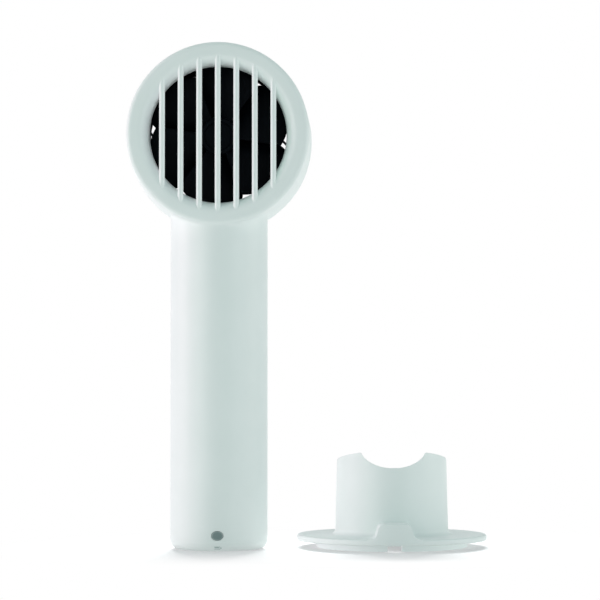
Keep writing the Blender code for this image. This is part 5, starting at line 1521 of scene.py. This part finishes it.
@dataclass
class Duct:
    """The black duct round the rotor, with the cup and struts that carry the motor."""

    head: Head
    wall: float = 0.0011
    notch_half_width: float = 0.008
    notch_low: float = -0.033
    notch_high: float = -0.028
    notch_depth: float = 0.0045
    overcut: float = 0.001
    cup_radius: float = 0.0137
    cup_wall: float = 0.0012
    cup_front_y: float = 0.0014
    cup_depth: float = 0.0095
    bore: float = 0.0033
    strut_count: int = 3
    strut_front_y: float = 0.0030
    strut_depth: float = 0.0060
    strut_thickness: float = 0.0016
    strut_edge: float = 0.0003

    def build(self) -> None:
        """Builds the ring, the cup and the struts."""
        head, bore, wide, half = self.head, self.bore, self.cup_radius, self.strut_thickness / 2
        inner, outer, back = head.duct_radius, head.duct_radius + self.wall, head.duct_rear_y
        ring = rectangle(inner, outer, head.throat_y + head.lip_length + head.seat_gap, back)
        tube = Skin().turned(ring, 160, head.centre, closed=True).piece("duct_ring")
        low, high = head.centre.z + self.notch_low, head.centre.z + self.notch_high
        notch = rectangle(-self.notch_half_width, self.notch_half_width, low, high)
        combine(tube, Skin().prism(notch, back - self.notch_depth, back + self.overcut))
        seat(soften(tube, head.hoop_edge), MATT_BLACK_PAINTED_SHADE, "air_duct")
        front, rear = self.cup_front_y, self.cup_front_y + self.cup_depth
        inside, floor = wide - self.cup_wall, front + self.cup_wall
        cup = [(bore, front), (wide, front), (wide, rear), (inside, rear), (inside, floor), (bore, floor)]
        seat(head.hoop("motor_cup", cup, 96), MATT_BLACK_PAINTED_SHADE, "air_duct")
        strut = rectangle(-half, half, wide - self.cup_wall / 2, inner + self.wall / 2)
        prism = Skin().prism(strut, self.strut_front_y, self.strut_front_y + self.strut_depth)
        piece = soften(prism.piece("motor_struts"), self.strut_edge, 3)
        ring_of_copies().run(piece, MATT_BLACK_PAINTED_SHADE, count=self.strut_count, centre=head.centre)
        seat(piece, MATT_BLACK_PAINTED_SHADE, "air_duct")


@dataclass
class Guard:
    """The black guard over the air inlet."""

    head: Head
    count: int = 24
    sweep: float = math.radians(-24)
    phase: float = math.radians(30.5)
    gap: float = 0.0006
    rim_width: float = 0.0022
    rim_step: float = 0.0021
    bar_width: float = 0.0009
    bar_rounding: float = 0.3
    front_y: float = 0.0176
    front_gap: float = 0.0004
    rear_y: float = 0.0192
    cap_radius: float = 0.0130
    cap_depth: float = 0.0014
    cap_edge: float = 0.0004
    cap_rim: float = 0.0016
    cap_groove: float = 0.0003
    ring_radius: float = 0.0214
    ring_width: float = 0.0010
    ring_sink: float = 0.0008

    def build(self) -> None:
        """Builds the rim, the swept bars, the middle ring and the cap."""
        head, rear, half = self.head, self.rear_y, self.ring_width / 2
        opening = head.rear_opening - self.gap
        inner, outer = opening - self.ring_width, opening + self.rim_width
        front, step = head.duct_rear_y + head.seat_gap, head.rear_y - self.rim_step
        rim = [(inner, front), (outer, front), (outer, step), (opening, step), (opening, rear), (inner, rear)]
        seat(head.hoop("guard_rim", rim, 160), MATT_BLACK_PAINTED_SHADE, "rear_guard")
        low = self.front_y + self.front_gap
        thickness = rear - low
        bars = swept_bar().run(
            Skin().turned([(0.0, 0.0), (self.bar_width, 0.0)], 4).piece("guard_bars"),
            MATT_BLACK_PAINTED_SHADE,
            inner_radius=self.cap_radius - self.bar_width,
            outer_radius=inner + half,
            sweep=self.sweep,
            phase=self.phase,
            bar_width=self.bar_width,
            bar_thickness=thickness,
            bar_rounding=self.bar_width * self.bar_rounding,
        )
        centre = Vector((head.centre.x, self.front_y + thickness / 2, head.centre.z))
        ring_of_copies().run(bars, MATT_BLACK_PAINTED_SHADE, count=self.count, centre=centre)
        seat(bars, MATT_BLACK_PAINTED_SHADE, "rear_guard")
        ring = rectangle(self.ring_radius - half, self.ring_radius + half, low, rear - self.ring_sink)
        seat(head.hoop("guard_ring", ring, 120), MATT_BLACK_PAINTED_SHADE, "rear_guard")
        wide, edge, groove = self.cap_radius, self.cap_edge, self.cap_groove
        lip = wide - self.cap_rim
        cap = Outline((0.0, rear - self.cap_depth)).line((wide, rear - self.cap_depth), 2)
        cap.line((wide, rear - edge), 2).arc((wide - edge, rear - edge), edge, 0, 1, 5).line((lip, rear))
        cap.line((lip - groove, rear - groove)).line((0.0, rear - groove * 0.6), 6)
        piece = Skin().turned(cap.points(), 120, head.centre).piece("guard_cap")
        seat(piece, MATT_BLACK_PAINTED_SHADE, "rear_guard")


@dataclass
class Stand:
    """The loose stand: a disc with a slanted, notched cup, a cable tunnel and a foot ring."""

    centre: Vector
    radius: float = 0.0375
    top_z: float = 0.0050
    underside_z: float = 0.0027
    edge_round: float = 0.0009
    lower_round: float = 0.0005
    cup_base_radius: float = 0.0223
    cup_top_radius: float = 0.0215
    cup_inner_radius: float = 0.01935
    cup_fillet: float = 0.0022
    cup_step: float = 0.0004
    floor_low_z: float = 0.0008
    floor_thickness: float = 0.001
    front_z: float = 0.0385
    rear_z: float = 0.0297
    notch_corner: float = 0.0009
    notch_half_width: float = 0.0128
    notch_half_height: float = 0.0078
    notch_z: float = 0.0394
    tunnel_top_z: float = 0.0108
    tunnel_top_half: float = 0.0042
    tunnel_corner: float = 0.0024
    tunnel_side_half: float = 0.0070
    tunnel_flare: float = 0.0034
    tunnel_flare_rise: float = 0.0022
    tunnel_wall: float = 0.0014
    tunnel_setback: float = 0.00004
    tunnel_overlap: float = 0.0004
    tunnel_reach: float = 0.66
    foot_radius: float = 0.0299
    foot_width: float = 0.0040
    foot_gap: float = 0.0055
    foot_sink: float = 0.0005
    groove_gap: float = 0.0003
    groove_depth: float = 0.0008
    spare: float = 0.002
    overcut: float = 0.001
    edge: float = 0.00035
    steps: int = 192

    @property
    def slope(self) -> float:
        """The rise of the cup's rim towards the back."""
        return (self.rear_z - self.front_z) / (2 * self.cup_top_radius)

    @property
    def rim_z(self) -> float:
        """The height of the cup's rim at its middle."""
        return (self.front_z + self.rear_z) / 2

    def profile(self) -> list[Point2]:
        """Draws the outline that the stand is turned from.

        Returns:
            The outline's points.
        """
        edge, low, wide, inside = self.edge_round, self.lower_round, self.radius, self.cup_inner_radius
        under, floor, over = self.underside_z, self.floor_low_z, self.front_z + self.spare
        groove_in = self.foot_radius - self.foot_width - self.groove_gap
        groove_out, groove_z = self.foot_radius + self.groove_gap, under + self.groove_depth
        step, thick = self.cup_base_radius - self.cup_step, self.floor_thickness
        fillet = (self.cup_base_radius + self.cup_fillet, self.top_z + self.cup_fillet)
        outline = Outline((0.0, floor)).line((step, floor), 2).line((step, under)).line((groove_in, under))
        outline.line((groove_in, groove_z)).line((groove_out, groove_z)).line((groove_out, under))
        outline.line((wide - low, under)).arc((wide - low, under + low), low, -1, 0, 4)
        outline.arc((wide - edge, self.top_z - edge), edge, 0, 1, 6).line((fillet[0], self.top_z), 3)
        outline.arc(fillet, self.cup_fillet, -1, -2, 8).line((self.cup_top_radius, over), 10)
        outline.line((inside, over)).line((inside, floor + thick), 8).line((0.0, floor + thick), 2)
        return outline.points()

    def mirrored(self, outline: Outline) -> list[Point2]:
        """Returns an outline's right side with its mirror image."""
        right = outline.points()
        return right + [(-across, height) for across, height in right[::-1] if across > MERGE_DISTANCE]

    def arched(self, side: Outline, shrink: float) -> list[Point2]:
        """Carries the right side of the tunnel's outline over its rounded top.

        Args:
            side: The right side up to where it starts to lean in.
            shrink: How far the outline lies inside the tunnel's outer face.

        Returns:
            The whole outline.
        """
        corner, half, top = self.tunnel_corner, self.tunnel_top_half - shrink, self.tunnel_top_z - shrink
        side.line((half + corner, top - corner), 3).arc((half, top - corner), corner, 0, 1, 8)
        return self.mirrored(side)

    def notch(self) -> list[Point2]:
        """Draws the notch: half an ellipse whose ends run in rounded corners into the rim.

        Returns:
            The outline's points.
        """
        corner, wide, tall = self.notch_corner, self.notch_half_width, self.notch_half_height
        rim_z = self.rim_z - self.slope * math.sqrt(self.cup_top_radius**2 - wide**2)
        way = (1.0, 0.0)
        for _ in range(12):
            end = math.asin((rim_z - corner * (1.0 + way[1]) - self.notch_z) / tall)
            steep = math.hypot(math.cos(end) / wide, math.sin(end) / tall)
            way = (math.cos(end) / wide / steep, math.sin(end) / tall / steep)
        x = wide * math.cos(end) + corner * way[0]
        outline = Outline((0.0, self.notch_z - tall))
        outline.arc((0.0, self.notch_z), (wide, tall), -1, end / QUARTER, 40)
        outline.arc((x, rim_z - corner), corner, math.atan2(-way[1], -way[0]) / QUARTER, 1, 6)
        return self.mirrored(outline.line((x, rim_z + 4 * corner)))

    def tunnel(self) -> Piece:
        """Builds the tunnel's solid outside, with flared feet, ended flush with the disc's rim.

        Returns:
            The tunnel.
        """
        flare, rise, top = self.tunnel_flare, self.tunnel_flare_rise, self.top_z
        foot, flush = self.tunnel_side_half + flare, self.radius - self.tunnel_setback
        side = Outline((foot, (self.underside_z + top) / 2)).line((foot, top))
        outline = self.arched(side.arc((foot, top + rise), (flare, rise), -1, -2, 10), 0.0)
        end = -self.cup_inner_radius - self.tunnel_overlap
        arch = Skin().prism(outline, -self.radius - self.spare, end).piece("tunnel")
        barrel = rectangle(0.0, flush, 0.0, self.front_z)
        return combine(arch, Skin().turned(barrel, self.steps, axis="Z"), "INTERSECT")

    def body(self) -> None:
        """Builds the stand's moulding."""
        reach, wall, base = self.radius + self.overcut, self.tunnel_wall, self.cup_base_radius + self.spare
        piece = Skin().turned(self.profile(), self.steps, axis="Z").piece("stand_moulding")
        combine(piece, self.tunnel(), "UNION")
        hollow = self.arched(Outline((self.tunnel_side_half - wall, -self.overcut)), wall)
        combine(piece, Skin().prism(hollow, wall - self.radius, -self.cup_inner_radius * self.tunnel_reach))
        fall, top = self.slope * reach, 2 * self.front_z
        over = [(-reach, self.rim_z - fall), (reach, self.rim_z + fall), (reach, top), (-reach, top)]
        combine(piece, Skin().prism(over, -reach, reach, "X"))
        combine(piece, Skin().prism(self.notch(), -base, -self.spare))
        soften(piece, self.edge, 3, 42.0).data.transform(Matrix.Translation(self.centre))
        seat(piece, WHITE_STAND, "stand_body", body=Body.STAND)

    def foot(self) -> None:
        """Builds the foot ring, open at the front for the cable."""
        inner, half = self.foot_radius - self.foot_width, self.foot_gap / 2
        ring = rectangle(inner, self.foot_radius, 0.0, self.underside_z + self.foot_sink)
        piece = Skin().turned(ring, self.steps, axis="Z", closed=True).piece("stand_foot")
        gap = rectangle(-half, half, -self.radius, 0.0)
        combine(piece, Skin().prism(gap, -self.overcut, self.top_z, "Z"))
        soften(piece, self.edge, 3).data.transform(Matrix.Translation(self.centre))
        # The foot ring's finish is painted lighter than the shell: painted light against the disc's shade.
        seat(piece, SOFT_PAD_PAINTED_LIGHT, "stand_foot_ring", body=Body.STAND)

    def build(self) -> None:
        """Builds the moulding and the foot ring."""
        self.body()
        self.foot()


@dataclass(frozen=True)
class Lamp:
    """A soft lamp that faces the middle of the object, at a bearing from the camera's side."""

    name: str
    bearing: float
    height: float
    power: float
    colour: Colour = (1.0, 1.0, 1.0)
    size: tuple[float, float] = (0.5, 0.5)
    distance: float = 1.1

    def build(self, aim: Vector, ending: str = "", shadow: bool = True) -> Piece:
        """Adds the lamp.

        Args:
            aim: The point that it faces, from which its bearing, height and distance are measured.
            ending: What is added to its name.
            shadow: Whether things stand in its light.

        Returns:
            The lamp.
        """
        light = bpy.data.lights.new(self.name + ending, "AREA")
        light.use_shadow = shadow
        light.shape = "RECTANGLE"
        light.size, light.size_y = self.size
        light.energy = self.power
        light.color = self.colour
        turn, rise = math.radians(self.bearing), math.radians(self.height)
        away = Vector((math.sin(turn) * math.cos(rise), -math.cos(turn) * math.cos(rise), math.sin(rise)))
        lamp = bpy.data.objects.new(light.name, light)
        lamp.location = aim + away * self.distance
        lamp.rotation_euler = (-away).to_track_quat("-Z", "Y").to_euler()
        bpy.context.scene.collection.objects.link(lamp)
        return lamp


FRONT_LAMPS = (
    Lamp("front_left", -45.0, 8.0, 3.03, (0.97, 0.970, 0.91)),
    Lamp("front_right", 50.0, 8.0, 1.4, (0.97, 0.93, 1.0)),
    Lamp("top", 0.0, 89.0, 2.5, (0.97, 0.94, 0.93), (0.8, 0.8)),
)
SIDE_LAMPS = (
    Lamp("side_left", -90.0, 12.0, 5.1, (1.0, 0.700, 0.815)),
    Lamp("side_right", 86.0, 12.0, 3.1, (1.0, 0.94, 0.90)),
)
FLOOR_LAMP = Lamp("floor_shadow", 180.0, 26.0, 37.0, size=(0.7, 0.3), distance=1.2)


@dataclass
class Studio:
    """The plain pale floor, the soft lamps, the white surround and the camera."""

    feet: Sequence[tuple[Vector, float]]
    floor_radius: float = 6.0
    floor_colour: Colour = (0.86, 0.87, 0.87)
    floor_return: Colour = (0.30, 0.30, 0.30)
    floor_bounce: float = 0.44
    fade_start: float = -0.020
    fade_end: float = 0.070
    surround: float = 0.22
    surround_colour: Colour = (0.54, 0.95, 0.95)
    lamp_aim: Colour = (0.035, 0.0, 0.08)
    camera_place: Colour = (0.0317, -0.938, 0.0682)
    camera_pitch: float = math.radians(1.77)
    lens: float = 143.6
    sensor: float = 36.0

    def floor(self) -> Piece:
        """Adds the floor: it takes shadows, and the camera sees it as white away from them.

        Returns:
            The floor.
        """
        material = bpy.data.materials.new("floor")
        material.use_nodes = True
        tree = NodeBuilder(material.node_tree)
        diffuse = tree.add("ShaderNodeBsdfDiffuse", sockets={"Color": (*self.floor_colour, 1.0)})
        dull = tree.add("ShaderNodeBsdfDiffuse", sockets={"Color": (*self.floor_return, 1.0)})
        bounce = tree.add("ShaderNodeEmission", sockets={"Strength": self.floor_bounce})
        paper = tree.add("ShaderNodeAddShader", sockets={0: dull, 1: bounce})
        white = tree.add("ShaderNodeEmission", sockets={"Strength": 1.0})
        place = tree.add("ShaderNodeTexCoord").outputs["Object"]
        from_fan, from_stand = (
            tree.value("ShaderNodeVectorMath", {"operation": "DISTANCE"}, {0: place, 1: axis}, 1) - radius
            for axis, radius in self.feet
        )
        nearest = from_fan.apply("MINIMUM", from_stand)
        ends = {"Value": nearest, "From Min": self.fade_start, "From Max": self.fade_end}
        fade = tree.add("ShaderNodeMapRange", {"interpolation_type": "SMOOTHSTEP"}, ends)
        spread = tree.add("ShaderNodeMixShader", sockets={0: fade, 1: diffuse, 2: white})
        mixed = tree.add("ShaderNodeMixShader", sockets={0: self.seen(tree), 1: paper, 2: spread})
        tree.add("ShaderNodeOutputMaterial", sockets={"Surface": mixed})
        disc = Skin().turned([(0.0, 0.0), (self.floor_radius, 0.0)], 64, axis="Z").merged()
        floor = disc.outward(Vector((0.0, 0.0, -1.0))).object("floor")
        floor.data.materials.append(material)
        return floor

    def seen(self, tree: NodeBuilder) -> Value:
        """Tells the rays that show the surround: the camera's, and those off gloss and through glass.

        Args:
            tree: The tree that asks.

        Returns:
            1 for such rays, 0 for others.
        """
        path = tree.add("ShaderNodeLightPath")
        kinds = ("Is Camera Ray", "Is Glossy Ray", "Is Transmission Ray")
        camera, glossy, through = (Value(tree, path.outputs[kind]) for kind in kinds)
        return camera.apply("MAXIMUM", glossy).apply("MAXIMUM", through)

    def world(self) -> None:
        """Sets a soft surround that is white where it is seen."""
        world = bpy.data.worlds.new("surround")
        bpy.context.scene.world = world
        world.use_nodes = True
        tree = NodeBuilder(world.node_tree)
        soft, white = (
            tree.add("ShaderNodeBackground", sockets={"Color": (*colour, 1.0), "Strength": strength})
            for colour, strength in ((self.surround_colour, self.surround), ((1.0, 1.0, 1.0), 1.0))
        )
        mixed = tree.add("ShaderNodeMixShader", sockets={0: self.seen(tree), 1: soft, 2: white})
        tree.add("ShaderNodeOutputWorld", sockets={"Surface": mixed})

    def camera(self) -> None:
        """Sets the camera at the photograph's place."""
        data = bpy.data.cameras.new("camera")
        data.lens = self.lens
        data.sensor_width = self.sensor
        data.sensor_fit = "HORIZONTAL"
        camera = bpy.data.objects.new("camera", data)
        camera.location = self.camera_place
        camera.rotation_euler = (QUARTER + self.camera_pitch, 0.0, 0.0)
        bpy.context.scene.collection.objects.link(camera)
        bpy.context.scene.camera = camera

    def light_alone(self, lamp: Piece, lit: Sequence[Piece], shading: Sequence[Piece] = ()) -> None:
        """Lets a lamp light some objects alone.

        Args:
            lamp: The lamp.
            lit: The objects that it lights.
            shading: The objects that stand in its light, or none for all.
        """
        lamp.light_linking.receiver_collection = self.group(f"{lamp.name}_lights", lit)
        if shading:
            lamp.light_linking.blocker_collection = self.group(f"{lamp.name}_shades", shading)

    def group(self, name: str, things: Sequence[Piece]) -> bpy.types.Collection:
        """Gathers objects for a lamp.

        Args:
            name: The collection's name.
            things: The objects.

        Returns:
            A collection that is not in the scene.
        """
        made = bpy.data.collections.new(name)
        for thing in things:
            made.objects.link(thing)
        return made

    def build(self) -> None:
        """Adds the floor, surround, camera and lamps."""
        floor, aim = self.floor(), Vector(self.lamp_aim)
        self.world()
        self.camera()
        for lamp in FRONT_LAMPS:
            lamp.build(aim)
        held = {body: list(frame["bodies"][body.value].children) for body in Body}
        fan = held[Body.FAN] + held[Body.ROTOR] + held[Body.BUTTON]
        slats = [piece for piece in fan if piece.name == SLATS_NAME]
        inner = [piece for piece in fan if piece not in slats]
        for ending, lit, shading in (("_fan", inner, fan), ("_open", held[Body.STAND] + slats + [floor], ())):
            for lamp in SIDE_LAMPS:
                self.light_alone(lamp.build(aim, ending, bool(shading)), lit, shading)
        self.light_alone(FLOOR_LAMP.build(aim), [floor])
        bpy.context.scene.view_settings.view_transform = "Standard"


def dress_carried_nodes() -> None:
    """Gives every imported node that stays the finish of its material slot."""
    finishes = {finish.slot: finish for finish in CARRIED}
    for part in frame["record"]["subparts"]:
        node = frame["nodes"][part["node"]]
        if node.hide_render:
            continue
        material = finishes[part["material_slot"]].take()
        for slot in node.material_slots:
            slot.material = material
        log.info("%s keeps its shape, finish %s", node.name, material.name)


def main() -> None:
    """Builds every sub-assembly, then the studio."""
    logging.basicConfig(level=logging.INFO, format="%(name)s: %(message)s")
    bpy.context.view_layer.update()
    head = Head(record_place("joint", "rotor_spin"))
    housing = Housing(head)
    halves = {half: housing.half(half) for half in HousingHalf}
    Controls(housing).build(halves[HousingHalf.FRONT], halves[HousingHalf.REAR])
    for half, piece in halves.items():
        seat(soften(piece, housing.edge, 2, 55.0), WHITE_SHELL, f"{half.name.lower()}_shell")
    Slats(head).build()
    Rotor(head).build()
    Duct(head).build()
    Guard(head).build()
    stand = Stand(record_place("mount", "stand_cup_floor") * Vector((1.0, 1.0, 0.0)))
    stand.build()
    dress_carried_nodes()
    Studio([(Vector(), housing.handle_radius), (stand.centre, stand.radius)]).build()


if __name__ == "__main__":
    main()
